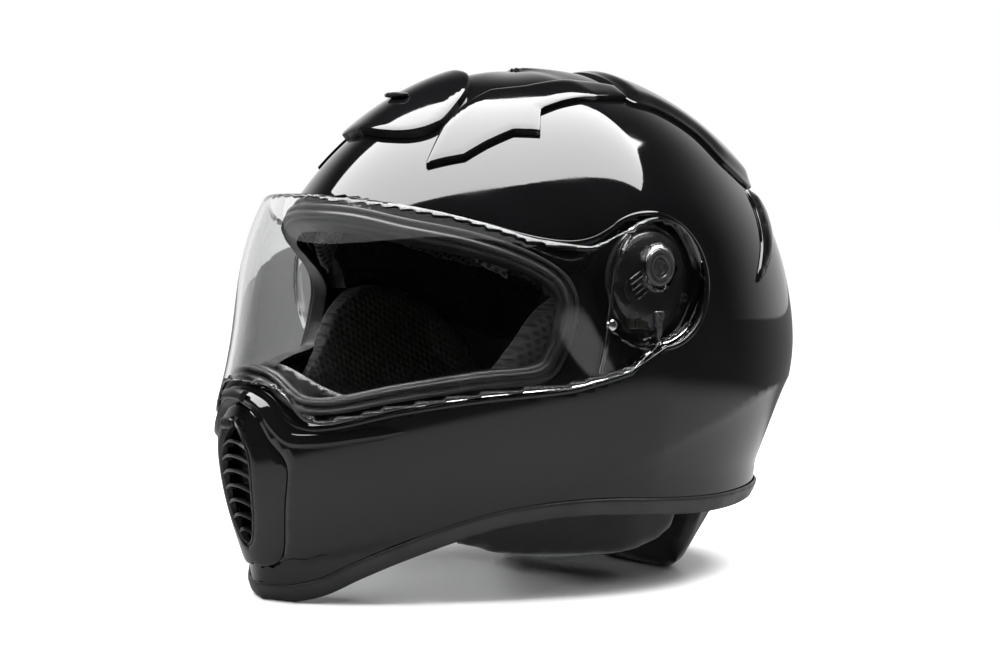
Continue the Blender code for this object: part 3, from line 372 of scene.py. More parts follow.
def on_side(points, radius=shell_radius):
    """An outline drawn in the side view as a run on the flat map, stopped at the helmet's middle plane."""
    points = np.array(points, float)
    ways, inside = cast(points, "side", radius)
    run = [to_map(ways[i : i + 1])[0] for i in range(len(points)) if inside[i]]
    ends = []
    for order in (1, -1):
        line, within = points[::order], inside[::order]
        if within[0]:
            ends.append(None)
            continue
        first = int(np.argmax(within))
        a, b = line[first - 1], line[first]
        for _ in range(30):
            middle = (a + b) / 2
            a, b = (a, middle) if cast(middle[None, :], "side", radius)[1][0] else (middle, b)
        way = np.array([[0, b[0] * MM, b[1] * MM - CENTRE.z]])
        ends.append(to_map(way / np.linalg.norm(way))[0])
    if ends[0] is not None:
        run.insert(0, ends[0])
    if ends[1] is not None:
        run.append(ends[1])
    return np.array(run)


RIM_STEP = 2.2 * MM


def rim(start, end, turn):
    """The helmet's middle plane on the map: the arc between two of its points, turn being 1 or -1."""
    a, b = math.atan2(start[1], start[0]), math.atan2(end[1], end[0])
    sweep = (b - a) * turn % (2 * math.pi)
    count = max(2, round(sweep * MAP * math.pi / 2 / RIM_STEP))
    angles = a + turn * sweep * np.arange(count + 1) / count
    return np.column_stack([np.cos(angles), np.sin(angles)]) * MAP * math.pi / 2


def offset_run(run, distance, closed=False):
    """The run moved to its left by a distance, on the map."""
    if closed:
        ahead, behind = np.roll(run, -1, 0), np.roll(run, 1, 0)
    else:
        ahead, behind = np.vstack([run[1:], run[-1:]]), np.vstack([run[:1], run[:-1]])
    along = ahead - behind
    along /= np.maximum(np.linalg.norm(along, axis=1), 1e-12)[:, None]
    return run + np.column_stack([-along[:, 1], along[:, 0]]) * distance


def signed_gap(points, run, closed=False):
    """Distance from each point to a run, and whether it lies to the run's left, or inside a closed one."""
    a = run if closed else run[:-1]
    b = np.roll(run, -1, 0) if closed else run[1:]
    step = b - a
    size = np.maximum((step**2).sum(1), 1e-18)
    best, side = np.full(len(points), 9.0), np.zeros(len(points))
    for low in range(0, len(points), 4000):
        block = points[low : low + 4000]
        away = block[:, None, :] - a[None, :, :]
        share = np.clip((away * step).sum(2) / size, 0, 1)
        gap = np.linalg.norm(away - share[:, :, None] * step, axis=2)
        which = gap.argmin(1)
        best[low : low + 4000] = gap[np.arange(len(block)), which]
        near = away[np.arange(len(block)), which]
        side[low : low + 4000] = step[which, 0] * near[:, 1] - step[which, 1] * near[:, 0]
    if closed:
        return best, inside_of(points, run)
    return best, side > 0


def inside_of(points, loop):
    """Whether each point lies inside a closed loop."""
    found = np.zeros(len(points), bool)
    x, y = points[:, 0], points[:, 1]
    for (ax, ay), (bx, by) in zip(loop, np.roll(loop, -1, 0)):
        if ay == by:
            continue
        crosses = (ay > y) != (by > y)
        found ^= crosses & (x < (bx - ax) * (y - ay) / (by - ay) + ax)
    return found


def triangulate(outline, runs, spacing, holes=()):
    """Even triangles inside a closed outline on the map, with edges along every run and round every hole."""
    runs = [*runs, *(np.vstack([hole, hole[:1]]) for hole in holes)]
    verts, edges = [tuple(p) for p in outline], []
    edges += [(i, (i + 1) % len(outline)) for i in range(len(outline))]
    for run in runs:
        inside = inside_of(run, outline)
        last = None
        for spot, within in zip(run, inside):
            if not within:
                last = None
                continue
            verts.append(tuple(spot))
            if last is not None:
                edges.append((last, len(verts) - 1))
            last = len(verts) - 1
    tree = KDTree(len(verts))
    for i, (x, y) in enumerate(verts):
        tree.insert((x, y, 0), i)
    tree.balance()
    low, high = outline.min(0), outline.max(0)
    rows = []
    for i, y in enumerate(np.arange(low[1], high[1], spacing * 0.866)):
        row = np.arange(low[0] + (i % 2) * spacing / 2, high[0], spacing)
        rows.append(np.column_stack([row, np.full(len(row), y)]))
    grid = np.vstack(rows)
    grid = grid[inside_of(grid, outline)]
    grid = [tuple(p) for p in grid if tree.find((*p, 0))[2] > spacing * 0.55]
    made = delaunay_2d_cdt([Vector(p) for p in verts + grid], edges, [], 1, 1e-7)
    flat = np.array([tuple(p) for p in made[0]])
    faces = np.array([f for f in made[2] if len(f) == 3])
    for hole in holes:
        faces = faces[~inside_of(flat[faces].mean(1), hole)]
    return flat, faces


def mesh_of(name, shape, crease=None):
    """A smooth-shaded mesh of a finished shape, with an edge wherever it bends by more than crease degrees."""
    mesh = bpy.data.meshes.new(name)
    shape.to_mesh(mesh)
    shape.free()
    mesh.shade_smooth()
    if crease:
        mesh.set_sharp_from_angle(angle=math.radians(crease))
    return mesh


def add_mirror_image(shape):
    """Joins a shape to its mirror image across the helmet's middle plane."""
    both = bmesh.ops.duplicate(shape, geom=shape.verts[:] + shape.edges[:] + shape.faces[:])["geom"]
    for vert in (item for item in both if isinstance(item, bmesh.types.BMVert)):
        vert.co.x = -vert.co.x
    bmesh.ops.reverse_faces(shape, faces=[item for item in both if isinstance(item, bmesh.types.BMFace)])
    bmesh.ops.remove_doubles(shape, verts=[v for v in shape.verts if abs(v.co.x) < 1e-6], dist=2e-6)


def skin_mesh(name, spots, faces):
    """A mesh from points about the centre on the left half, with its right half, facing outward."""
    shape = bmesh.new()
    verts = [shape.verts.new(Vector(p) + CENTRE) for p in spots]
    for a, b, c in faces:
        shape.faces.new((verts[a], verts[b], verts[c]))
    add_mirror_image(shape)
    shape.normal_update()
    outward = sum(f.normal.dot(f.calc_center_median() - CENTRE) * f.calc_area() for f in shape.faces)
    if outward < 0:
        bmesh.ops.reverse_faces(shape, faces=shape.faces[:])
    return mesh_of(name, shape)


def put(name, mesh, body, stands_for, finish):
    """A piece in the scene, riding on a body, in place of the CAD nodes it stands for, if any."""
    made = bpy.data.objects.new(name, mesh)
    bpy.context.scene.collection.objects.link(made)
    mesh.materials.append(finish)
    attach(made, body)
    if stands_for:
        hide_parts(*stands_for)
    return made


def give_wall(piece, thickness):
    """Thickens a skin inward from its face."""
    wall = piece.modifiers.new("wall", "SOLIDIFY")
    wall.thickness = thickness
    wall.offset = -1


EYEPORT_TOP = ((-150, 194), (-124, 191), (-107, 184.5), (-86, 178), (-66, 168.5), (-53.5, 158.5))
EYEPORT_REAR = ((-49, 147), (-50, 136), (-55, 120), (-65, 107))
EYEPORT_CHIN = ((-93, 103.5), (-124, 98), (-146, 92.5), (-157, 92.5), (-162, 98), (-165, 106), (-172, 110))
RECESS_BROW = ((-150, 198), (-122, 194.5), (-106, 188), (-85, 182.5), (-71, 177), (-58, 173.5))
RECESS_NECK = ((-47, 172.8), (-37, 175.2), (-27, 180.5))
RECESS_CHIN = ((-24, 110.5), (-42, 105.5), (-56, 102.5), (-93, 98.8), (-124, 93.5), (-147, 87),
               (-157, 86.5))
RECESS_NOSE = ((-162, 91.5), (-165, 102), (-172, 106))
EDGE = (
    (-150, 0), (-141, 4), (-130, 12), (-116, 20), (-96, 29), (-76, 35.5), (-52, 39), (-28, 40),
    (0, 38.5), (24, 37), (52, 36), (90, 36.5), (130, 38), (190, 40),
)
CREASE = ((150, 112), (128, 101), (96, 99), (23, 80), (-24, 63), (-58, 50), (-82, 43), (-104, 36))
HINGE = np.array([-7.0, 161.0])
POCKET = np.array([-8.0, 154.5])
POCKET_RADIUS = 32.5
POCKET_FLOOR = 110.5 * MM
SEAT_X = 117.7 * MM
FLAT_EAR = (44, 66)  # mm from the hinge, between which the flat seat runs out into the shell's curve
STEP_DEPTH = 2.2 * MM
CREASE_DEPTH = 3.4 * MM  # how far the shell draws in below the fold along the cheek
CREASE_SPREAD = 12 * MM
TRIM_SLOT = 3.2
SKIN_STEP = 2.6 * MM
SKIN_WALL = 4.2 * MM

eyeport_run = on_side(flowing(EYEPORT_TOP + EYEPORT_REAR + EYEPORT_CHIN))
brow_points = flowing(RECESS_BROW + RECESS_NECK)
ear_points = bow(POCKET, POCKET_RADIUS, 122, -84)
chin_points = flowing(RECESS_CHIN + RECESS_NOSE)
recess_points = np.vstack([[(-PAST_END, 199)], brow_points, ear_points, chin_points, [(-PAST_END, 106.5)]])
recess_run = on_side(recess_points)
edge_points = np.vstack([[(-PAST_END, 0)], flowing(EDGE), [(PAST_END, 41)]])
edge_run = on_side(edge_points + np.array([0, TRIM_SLOT]))
crease_run = on_side(flowing(CREASE))


def shell_field(flat):
    """How far the shell's face stands from its plain form, at points on the map."""
    gap, left = signed_gap(flat, recess_run)
    gap = np.where(left, -gap, gap)
    fold, below = signed_gap(flat, crease_run)
    to_edge = signed_gap(flat, edge_run)[0]
    fall = -CREASE_DEPTH * (1 - np.exp(-fold / CREASE_SPREAD)) * below * smooth(to_edge, 1 * MM, 16 * MM)
    return -STEP_DEPTH * smooth(gap, -0.2 * MM, 1.0 * MM) + fall


def shell_spots(flat):
    """The shell's face at points on the map, with the seat of the visor's ear and the hinge's pocket."""
    ways, field = from_map(flat), shell_field(flat)
    spots = ways * (shell_radius(ways) + field)[:, None]
    reach = spots[:, 1:] / MM + np.array([0, CENTRE_HEIGHT])
    seat = 1 - smooth(np.hypot(*(reach - HINGE).T), *FLAT_EAR)
    lowered = field < -0.5 * STEP_DEPTH
    over = np.maximum(spots[:, 0] - SEAT_X, 0) * seat * lowered
    spots[:, 0] -= over
    away = np.hypot(*(reach - POCKET).T)
    sunk = 1 - smooth(away, POCKET_RADIUS - 0.7, POCKET_RADIUS - 0.1)
    spots[:, 0] -= np.maximum(spots[:, 0] - POCKET_FLOOR, 0) * sunk
    return spots


CHIN_PANEL = ((0, 97), (12, 92), (22, 80), (29.5, 68), (26, 48), (19, 24), (10, 17.5), (0, 17.1))
CHIN_VENT = ((0, 88), (7, 82), (12.3, 72), (12.6, 60), (10, 42), (5, 30), (0, 26.5))
panel_side = to_map(cast(flowing(CHIN_PANEL, 1.2), "front")[0])
vent_run = to_map(cast(flowing(CHIN_VENT, 1.0), "front")[0])
SEAM = 0.45 * MM
seam_run = offset_run(panel_side, SEAM)
seam_run[[0, -1]] *= (MAP * math.pi / 2 / np.linalg.norm(seam_run[[0, -1]], axis=1))[:, None]
panel_run = np.vstack([
    panel_side,
    rim(panel_side[-1], vent_run[-1], -1)[1:],
    vent_run[::-1][1:],
    rim(vent_run[0], panel_side[0], -1)[1:-1],
])
outline = np.vstack([
    edge_run,
    rim(edge_run[-1], eyeport_run[0], 1)[1:-1],
    eyeport_run,
    rim(eyeport_run[-1], seam_run[0], 1)[1:-1],
    seam_run,
    rim(seam_run[-1], edge_run[0], 1)[1:-1],
])
tight = [offset_run(recess_run, -d * MM) for d in (-0.2, 0.4, 1.0)]
ring = [on_side(bow(POCKET, POCKET_RADIUS - d, 0, 360)[:-1]) for d in (0.1, 0.7)]
flat, faces = triangulate(outline, [recess_run, *tight, *ring, crease_run], SKIN_STEP)


def black_lacquer():
    """Sprayed black under a clear coat, with the faintest orange peel and a few handling marks."""
    made, tree, shader = finish_of("deep black lacquer")
    tone = mottled(tree, 18.0, (0.0022, 0.0022, 0.0024), (0.0035, 0.0035, 0.0038))
    feed(tree, shader.inputs["Base Color"], tone)
    feed(tree, shader.inputs["Roughness"], blotches(tree, 40.0, 0.03, 0.075))
    shader.inputs["IOR"].default_value = 1.46
    bump(tree, shader, grain(tree, 420.0, 1.0), 0.00002, 0.25)
    return made


lacquer = black_lacquer()
shell = put("shell_skin", skin_mesh("shell_skin", shell_spots(flat), faces), "shell", ["outer_shell"],
            lacquer)
give_wall(shell, SKIN_WALL)


# ---------------------------------------------------------------- bottom edging
# A black rubber moulding with a slot in its top, glued over the cut bottom edge of the shell.
# Its chin end is what the front of the helmet stands on.


def frames_along(run, radius=shell_radius):
    """Points of a run on a form, with the form's outward normal, and the direction to the run's left."""
    ways = from_map(run)
    spots = ways * radius(ways)[:, None]
    fine = 0.4 * MM
    east, north = from_map(run + [fine, 0]), from_map(run + [0, fine])
    u = east * radius(east)[:, None] - spots
    v = north * radius(north)[:, None] - spots
    normal = np.cross(u, v)
    normal /= np.linalg.norm(normal, axis=1)[:, None]
    normal *= np.sign((normal * spots).sum(1))[:, None]
    along = np.gradient(spots, axis=0)
    for end in (0, -1):
        if abs(spots[end, 0]) < 1e-5:
            normal[end, 0] = 0
            along[end] = [np.sign(along[end, 0]) or 1, 0, 0]
    along /= np.linalg.norm(along, axis=1)[:, None]
    normal -= along * (normal * along).sum(1)[:, None]
    normal /= np.linalg.norm(normal, axis=1)[:, None]
    return spots, normal, np.cross(normal, along)


def swept_mesh(name, section, spots, normal, left, mirror=True):
    """A moulding of one section, as (to the left, outward) pairs in mm, along a run."""
    aside, outward = np.array(section, float).T * MM
    rings = [spot[None, :] + np.outer(aside, side) + np.outer(outward, up)
             for spot, up, side in zip(spots, normal, left)]
    at_middle = [abs(spots[end, 0]) < 1e-5 for end in (0, -1)]
    for end, meets in zip((0, -1), at_middle):
        if meets:
            rings[end][:, 0] = 0
    shape = bmesh.new()
    made = [[shape.verts.new(Vector(p) + CENTRE) for p in ring] for ring in rings]
    for first, second in zip(made, made[1:]):
        for i in range(len(section)):
            shape.faces.new((first[i - 1], first[i], second[i], second[i - 1]))
    for end, meets in zip((0, -1), at_middle):
        if not (meets and mirror):
            shape.faces.new(made[end])
    if mirror:
        add_mirror_image(shape)
    bmesh.ops.recalc_face_normals(shape, faces=shape.faces)
    return mesh_of(name, shape, 50)


def moulded_rubber():
    """Satin black rubber, slightly dusty, with the fine grain of its mould."""
    made, tree, shader = finish_of("moulded black rubber")
    tone = mottled(tree, 60.0, (0.006, 0.006, 0.006), (0.011, 0.011, 0.011))
    feed(tree, shader.inputs["Base Color"], tone)
    feed(tree, shader.inputs["Roughness"], blotches(tree, 90.0, 0.34, 0.5))
    bump(tree, shader, grain(tree, 900.0, 2.0), 0.00006, 0.35)
    return made


rubber = moulded_rubber()
EDGING = (
    (6.2, 0.3), (5.8, 1.2), (4.6, 1.55), (1.0, 1.6), (-1.6, 1.3), (-2.8, 0.4), (-3.3, -1.2), (-3.2, -3.6),
    (-2.4, -5.2), (-0.8, -6.0), (4.6, -6.1), (5.6, -5.4), (5.6, -4.7), (0.4, -4.6), (0.4, -0.05), (6.2, -0.05),
)
edge_mesh = swept_mesh("bottom_edging", EDGING, *frames_along(edge_run))
for vert in edge_mesh.vertices:
    vert.co.z = max(vert.co.z, 0.0)
put("bottom_edging", edge_mesh, "shell", ["bottom_trim"], rubber)


# ---------------------------------------------------------------- eyeport gasket
# A soft black rubber frame pressed over the edge of the eyeport; the visor closes against its ribs.
# It is one ribbed extrusion, with its joint at the chin.

GASKET = (
    (0.3, -4.2), (0.3, 0.2), (0.7, 1.0), (1.6, 1.2), (2.4, 0.8), (2.7, -0.5), (3.5, -0.9), (4.3, -0.6),
    (4.6, 0.5), (5.4, 0.8), (6.5, 0.6), (7.1, -0.2), (7.4, -1.7), (8.2, -2.0), (9.0, -3.0), (9.2, -5.0),
    (9.0, -10.8), (6.8, -10.9), (6.2, -5.4),
)
spots, normal, left = frames_along(eyeport_run)
put("eyeport_seal", swept_mesh("eyeport_seal", GASKET, spots, normal, -left), "shell",
    ["eyeport_gasket"], rubber)


# ---------------------------------------------------------------- rolled edge of the visor's recess
# The step down to the recess ends in a fine rolled edge, moulded in one with the shell.
# It is lacquered and polished with it, and shows as a thin bright line all round the visor.

ROLLED = ((-0.8, -2.0), (-0.8, -0.15), (-0.55, 0.12), (-0.1, 0.28), (0.6, 0.22), (1.4, 0.0), (2.0, -0.35))
put("recess_edge", swept_mesh("recess_edge", ROLLED, *frames_along(recess_run)), "shell", (),
    lacquer)


# ---------------------------------------------------------------- visor
# A clear shield of moulded polycarbonate with a hard coat, flat at its ears where it turns on the hubs.
# Its upper edge stands off the brow, and a small tab at its lower edge is lifted with a thumb.

VISOR_TOP = ((-160, 198), (-140, 198.5), (-120, 194), (-100, 188.5), (-82, 182.5), (-66, 176.5),
             (-52, 173.5))
VISOR_WALL = 2.2 * MM
VISOR_LIFT = 1.2 * MM
VISOR_BULGE = 11.5 * MM
EAR_FACE = 120.8 * MM
HUB_RADIUS = 9.2
HUB_GAP = 0.4
VISOR_GAP = 2.0  # mm between the visor's edge and the step of its recess


def visor_radius(ways):
    """Distance from the centre to the visor's outer face, before its ears are flattened."""
    across = np.abs(ways[:, 0]) / np.maximum(np.hypot(ways[:, 0], ways[:, 1]), 1e-9)
    plain = shell_radius(ways)
    height = plain * ways[:, 2] + CENTRE.z
    swell = smooth(height, 100 * MM, 200 * MM) * (1 - smooth(across, 0.5, 0.95))
    return plain + VISOR_LIFT + VISOR_WALL + VISOR_BULGE * swell


def visor_spots(flat):
    ways = from_map(flat)
    spots = ways * visor_radius(ways)[:, None]
    away = np.hypot(*(spots[:, 1:] / MM + [0, CENTRE_HEIGHT] - HINGE).T)
    share = (1 - smooth(away, *FLAT_EAR)) * (spots[:, 0] > 70 * MM)
    spots[:, 0] += (EAR_FACE - spots[:, 0]) * share
    return spots


visor_ear = bow(POCKET, POCKET_RADIUS, 124, -84)
visor_points = np.vstack([flowing(VISOR_TOP + ((-41, 176),)), visor_ear, chin_points])
visor_points = offset_run(visor_points, -VISOR_GAP)
visor_points = np.vstack([[(-PAST_END, 196)], visor_points, [(-PAST_END, 104.5)]])
visor_run = on_side(visor_points, visor_radius)
visor_outline = np.vstack([visor_run, rim(visor_run[-1], visor_run[0], -1)[1:-1]])
hub_hole = on_side(bow(HINGE, HUB_RADIUS + HUB_GAP, 0, 360, 0.8)[:-1], visor_radius)
flat, faces = triangulate(visor_outline, [], SKIN_STEP, [hub_hole])


def clear_shield():
    """Optically clear, hard coated, with a trace of haze."""
    made, tree, shader = finish_of("clear shield")
    shader.inputs["Base Color"].default_value = (0.985, 0.988, 0.99, 1)
    shader.inputs["Transmission Weight"].default_value = 1.0
    shader.inputs["IOR"].default_value = 1.45
    feed(tree, shader.inputs["Roughness"], blotches(tree, 30.0, 0.0, 0.02))
    return made


shield = clear_shield()
visor = put("visor_shield", skin_mesh("visor_shield", visor_spots(flat), faces), "visor", ["visor"],
            shield)
give_wall(visor, VISOR_WALL)


# ---------------------------------------------------------------- chin panel and its vent
# A seamed cover let into the middle of the chin, lacquered like the shell and clipped in from behind.
# Its leaf-shaped vent is a black moulding with level louvres, shut by a small ribbed thumb peg above it.


def drawn_on(points, view, step=1.2):
    """A smooth run through points drawn in a view, on the flat map."""
    return to_map(cast(flowing(points, step), view)[0])


def plate_mesh(name, run, lift, spacing=2.2 * MM, rings=(0.35, 0.9, 1.8), closed=False, edges=None):
    """A plate over a form inside an outline; lift gives its height from the distance to the edge."""
    loop = run if closed else np.vstack([run, rim(run[-1], run[0], 1)[1:-1]])
    area = float(np.sum(loop[:, 0] * np.roll(loop[:, 1], -1) - loop[:, 1] * np.roll(loop[:, 0], -1)))
    inward = 1 if area > 0 else -1
    near = [offset_run(run, inward * d * MM, closed) for d in rings]
    flat, faces = triangulate(loop, near, spacing)
    if edges:
        gap = np.min([signed_gap(flat, edge)[0] for edge in edges], 0)
    else:
        gap = signed_gap(flat, run, closed)[0]
    ways = from_map(flat)
    return skin_mesh(name, ways * (shell_radius(ways) + lift(gap / MM) * MM)[:, None], faces)


def moulded_plastic(name, dark, light, roughness):
    """Injection-moulded plastic with a fine spark-eroded grain and slight shine where it is handled."""
    made, tree, shader = finish_of(name)
    feed(tree, shader.inputs["Base Color"], mottled(tree, 70.0, dark, light))
    feed(tree, shader.inputs["Roughness"], blotches(tree, 55.0, roughness - 0.06, roughness + 0.08))
    bump(tree, shader, grain(tree, 1400.0, 1.0), 0.00004, 0.3)
    return made


black_plastic = moulded_plastic("black moulded plastic", (0.004, 0.004, 0.0042), (0.008, 0.008, 0.0085),
                                0.3)
COVER_WALL = 1.8 * MM
COVER_STEP = 2.0 * MM


def cover_lift(gap):
    """Level with the shell, and rounded off at its edge."""
    return -0.7 * (1 - smooth(gap, 0.0, 0.6))


cover_mesh = plate_mesh("chin_cover", panel_run, cover_lift, COVER_STEP, (0.3, 0.6), True,
                        [panel_side, vent_run])
cover = put("chin_cover", cover_mesh, "shell", ["chin_panel"], lacquer)
give_wall(cover, COVER_WALL)

LOUVRE = ((0.0, -5.4), (0.5, -0.9), (1.2, -0.5), (1.9, -1.0), (1.2, -5.8))
LOUVRE_LOWEST = 34.0
LOUVRE_HIGHEST = 82.0
LOUVRE_PITCH = 7.2
LOUVRE_DROOP = 3.0
LOUVRE_GAP = 0.5
VENT_FRAME = ((0.1, -3.4), (0.1, -0.7), (0.6, -0.35), (1.2, -0.7), (1.7, -3.4))
vent_heights = [z for _, z in reversed(CHIN_VENT)]
vent_widths = [x for x, _ in reversed(CHIN_VENT)]
joined = bmesh.new()
for z in np.arange(LOUVRE_LOWEST, LOUVRE_HIGHEST, LOUVRE_PITCH):
    half = float(np.interp(z, vent_heights, vent_widths)) - LOUVRE_GAP
    share = np.linspace(0, 1, 9)
    across = np.column_stack([np.linspace(0.0, half, 9), np.full(9, z) - share**2 * LOUVRE_DROOP])
    run = to_map(cast(across, "front")[0])
    joined.from_mesh(swept_mesh("chin_louvre", LOUVRE, *frames_along(run)))
spots, normal, left = frames_along(vent_run)
joined.from_mesh(swept_mesh("chin_vent_frame", VENT_FRAME, spots, normal, -left))
put("chin_louvres", mesh_of("chin_louvres", joined, 45), "shell", ["chin_vent_grille"],
    black_plastic)


def pebble_mesh(name, low, high, roundness, ribs):
    """A rounded block filling the space between two corners, with grip ribs across its face."""
    shape = bmesh.new()
    bmesh.ops.create_uvsphere(shape, u_segments=48, v_segments=24, radius=1)
    middle, half = (Vector(low) + Vector(high)) / 2, (Vector(high) - Vector(low)) / 2
    for vert in shape.verts:
        way = vert.co.normalized()
        size = sum(abs(c) ** roundness for c in way) ** (-1 / roundness)
        spot = way * size
        spot *= 1 - 0.05 * (0.5 - 0.5 * math.cos(spot.x * ribs * math.pi))
        vert.co = middle + Vector(s * h for s, h in zip(spot, half))
    return mesh_of(name, shape)


put("chin_vent_peg", pebble_mesh("chin_vent_peg", *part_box("chin_vent_slider"), 3.0, 3),
    "chin_vent_slider", ["chin_vent_slider"], black_plastic)


# ---------------------------------------------------------------- stepped ridges of the chin
# Two raised ledges moulded into the shell under the eyeport, which stiffen the chin bar.
# They follow the notch at the nose and run out along the cheeks.

RIDGE = ((-2.6, -0.6), (-2.2, 0.1), (-0.7, 1.5), (-0.1, 1.9), (0.5, 1.9), (1.4, 1.3), (4.0, 0.35),
         (5.0, -0.7))
RIDGE_LINE = ((0, 99.5), (7, 98), (16, 94), (22.5, 87), (29, 80.5), (34, 78.6), (44, 79), (54, 81),
              (63, 83), (72, 85.5))
RIDGE_SINK = 2.4 * MM  # how far its outer end has sunk into the shell
ridge_run = drawn_on(RIDGE_LINE, "front", 1.5)
spots, normal, left = frames_along(ridge_run)
standing = smooth(np.arange(len(ridge_run))[::-1].astype(float), 0, 7)
spots = spots - normal * ((1 - standing) * RIDGE_SINK)[:, None]
put("chin_ledge", swept_mesh("chin_ledge", RIDGE, spots, normal, left), "shell", (),
    lacquer)


# ---------------------------------------------------------------- crown scoop and its slider
# A low lacquered hood over the front crown vent, bonded to the shell; air enters under its lip.
# A small ribbed slider on top of it opens and shuts the vent.

SCOOP = ((0, -96), (14, -94), (28, -86), (34.5, -74), (30, -58), (22, -46), (12, -38), (0, -36))
LIP_REAR = -60 * MM  # the mouth of the hood is ahead of this


def hood_lift(gap):
    """A steep lip, then a gentle dome."""
    return -0.6 + 5.0 * smooth(gap, 0.0, 0.45) ** 0.5 + 0.5 * smooth(gap, 0.4, 3.0)


hood = put("crown_scoop_hood", plate_mesh("crown_scoop_hood", drawn_on(SCOOP, "plan"), hood_lift),
           "shell", ["crown_scoop"], lacquer)
hood.data.materials.append(black_plastic)
for face in hood.data.polygons:
    middle = face.center - crown_axis
    steep = face.normal.dot((face.center - CENTRE).normalized()) < 0.75
    if steep and middle.y < LIP_REAR:
        face.material_index = 1
hood.data.set_sharp_from_angle(angle=math.radians(40))

slider_low, slider_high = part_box("crown_vent_slider")
thumb_low = slider_low + Vector((0, 0.5, 0.4)) * MM
thumb_high = slider_high - Vector((0, 0.5, 2.6)) * MM
put("crown_vent_thumb", pebble_mesh("crown_vent_thumb", thumb_low, thumb_high, 3.2, 4), "crown_vent_slider",
    ["crown_vent_slider"], black_plastic)


# ---------------------------------------------------------------- wing panels, spoiler and exhaust blades
# Thin mouldings in the shell's black, bonded over the top vents: a blade-shaped wing beside the scoop,
# a broad spoiler over the back of the crown, and a blade over each rear exhaust vent.

WING = ((36, -73), (45, -91), (50.5, -83), (56, -75), (58.5, -63), (62, -50), (70.5, -40), (64, -34.5),
        (60.5, -31), (62, -20), (66, 0), (64, 22), (52, 24), (47, 0), (40, -25), (31.5, -40), (32, -56))


def cornered(points, step):
    """A closed run with its corners kept, from straight sides."""
    spots = np.array(points, float)
    run = []
    for a, b in zip(spots, np.roll(spots, -1, 0)):
        count = max(1, round(float(np.linalg.norm(b - a)) / step))
        run.append(a + (b - a) * (np.arange(count) / count)[:, None])
    return np.vstack(run)


def wing_lift(gap):
    """A steep edge, then almost level."""
    return -0.4 + 3.2 * smooth(gap, 0.0, 0.5) ** 0.5 + 0.4 * smooth(gap, 0.5, 4.0)


wing_run = to_map(cast(cornered(WING, 1.4), "plan")[0])
wings = put("wing_panels", plate_mesh("wing_panels", wing_run, wing_lift, closed=True), "shell",
            ["wing_panel_left", "wing_panel_right"], lacquer)
wings.data.set_sharp_from_angle(angle=math.radians(40))

SPOILER = ((0, 32), (30, 29), (50, 26), (66, 22), (69, 40), (76, 58), (86, 70), (82, 93), (61, 109),
           (30, 117), (0, 119))


def spoiler_lift(gap):
    """A steep edge, then a rise to the middle of the tail."""
    return -0.5 + 2.4 * smooth(gap, 0.0, 0.5) ** 0.5 + 2.6 * smooth(gap, 0.5, 11.0)


spoiler = put("tail_spoiler", plate_mesh("tail_spoiler", drawn_on(SPOILER, "plan"), spoiler_lift),
              "shell", ["rear_spoiler"], lacquer)
spoiler.data.set_sharp_from_angle(angle=math.radians(40))

BLADE = ((86, 200), (97, 196), (101, 184), (92, 167), (68, 152), (80, 172), (85, 188))


def blade_lift(gap):
    """A low edge, then a rounded back."""
    return -0.4 + 1.6 * smooth(gap, 0.0, 0.5) ** 0.5 + 2.2 * smooth(gap, 0.5, 6.0)


blade_run = to_map(cast(flowing(BLADE, 1.3, True), "side")[0])
put("exhaust_blades", plate_mesh("exhaust_blades", blade_run, blade_lift, closed=True), "shell",
    ["exhaust_blade_left", "exhaust_blade_right"], lacquer)


# ---------------------------------------------------------------- breath guard
# A thin black deflector that stands up in front of the nose and keeps breath off the visor.
# It is one plastic moulding, plugged into the chin liner so that it pulls out for washing.

GUARD = ((-178, 96), (-178, 121), (-160, 121), (-152, 116), (-143, 105), (-132, 99.5), (-112, 99),
         (-112, 93), (-130, 90.5), (-146, 86), (-160, 84), (-170, 90))
GUARD_DEPTH = 12.2 * MM  # inside the shell's face
GUARD_WALL = 2.2 * MM


def guard_radius(ways):
    return shell_radius(ways) - GUARD_DEPTH


guard_top = on_side(flowing(GUARD[1:7], 1.5), guard_radius)
guard_foot = on_side(np.vstack([flowing(GUARD[7:11], 1.5), [GUARD[11]], [GUARD[0]]]), guard_radius)
guard_run = np.vstack([guard_top, guard_foot])
guard_loop = np.vstack([guard_run, rim(guard_run[-1], guard_run[0], -1)[1:-1]])
flat, faces = triangulate(guard_loop, [], SKIN_STEP)
ways = from_map(flat)
guard = put("nose_deflector", skin_mesh("nose_deflector", ways * guard_radius(ways)[:, None], faces),
            "shell", ["breath_guard"], black_plastic)
give_wall(guard, GUARD_WALL)


# ---------------------------------------------------------------- visor hinges
# Under each ear of the visor: a domed cover screwed into the pocket, a ringed hub with its centre screw,
# a ribbed comb that holds the visor at each step, and a sprung lever that frees it from the hub.

cover_plastic = moulded_plastic("dark grey glazed plastic", (0.010, 0.010, 0.011), (0.017, 0.017, 0.018),
                                0.16)
hub_plastic = moulded_plastic("mid grey plastic", (0.014, 0.014, 0.0145), (0.022, 0.022, 0.0225), 0.2)
lever_plastic = moulded_plastic("olive grey plastic", (0.020, 0.020, 0.016), (0.030, 0.030, 0.024), 0.24)


def plated_steel():
    """Plated steel with the fine roughness of its polishing."""
    made, tree, shader = finish_of("plated steel")
    shader.inputs["Metallic"].default_value = 1.0
    feed(tree, shader.inputs["Base Color"], mottled(tree, 120.0, (0.50, 0.50, 0.51), (0.62, 0.62, 0.64)))
    feed(tree, shader.inputs["Roughness"], blotches(tree, 300.0, 0.19, 0.34))
    bump(tree, shader, grain(tree, 2200.0, 1.0), 0.00002, 0.3)
    return made


steel = plated_steel()


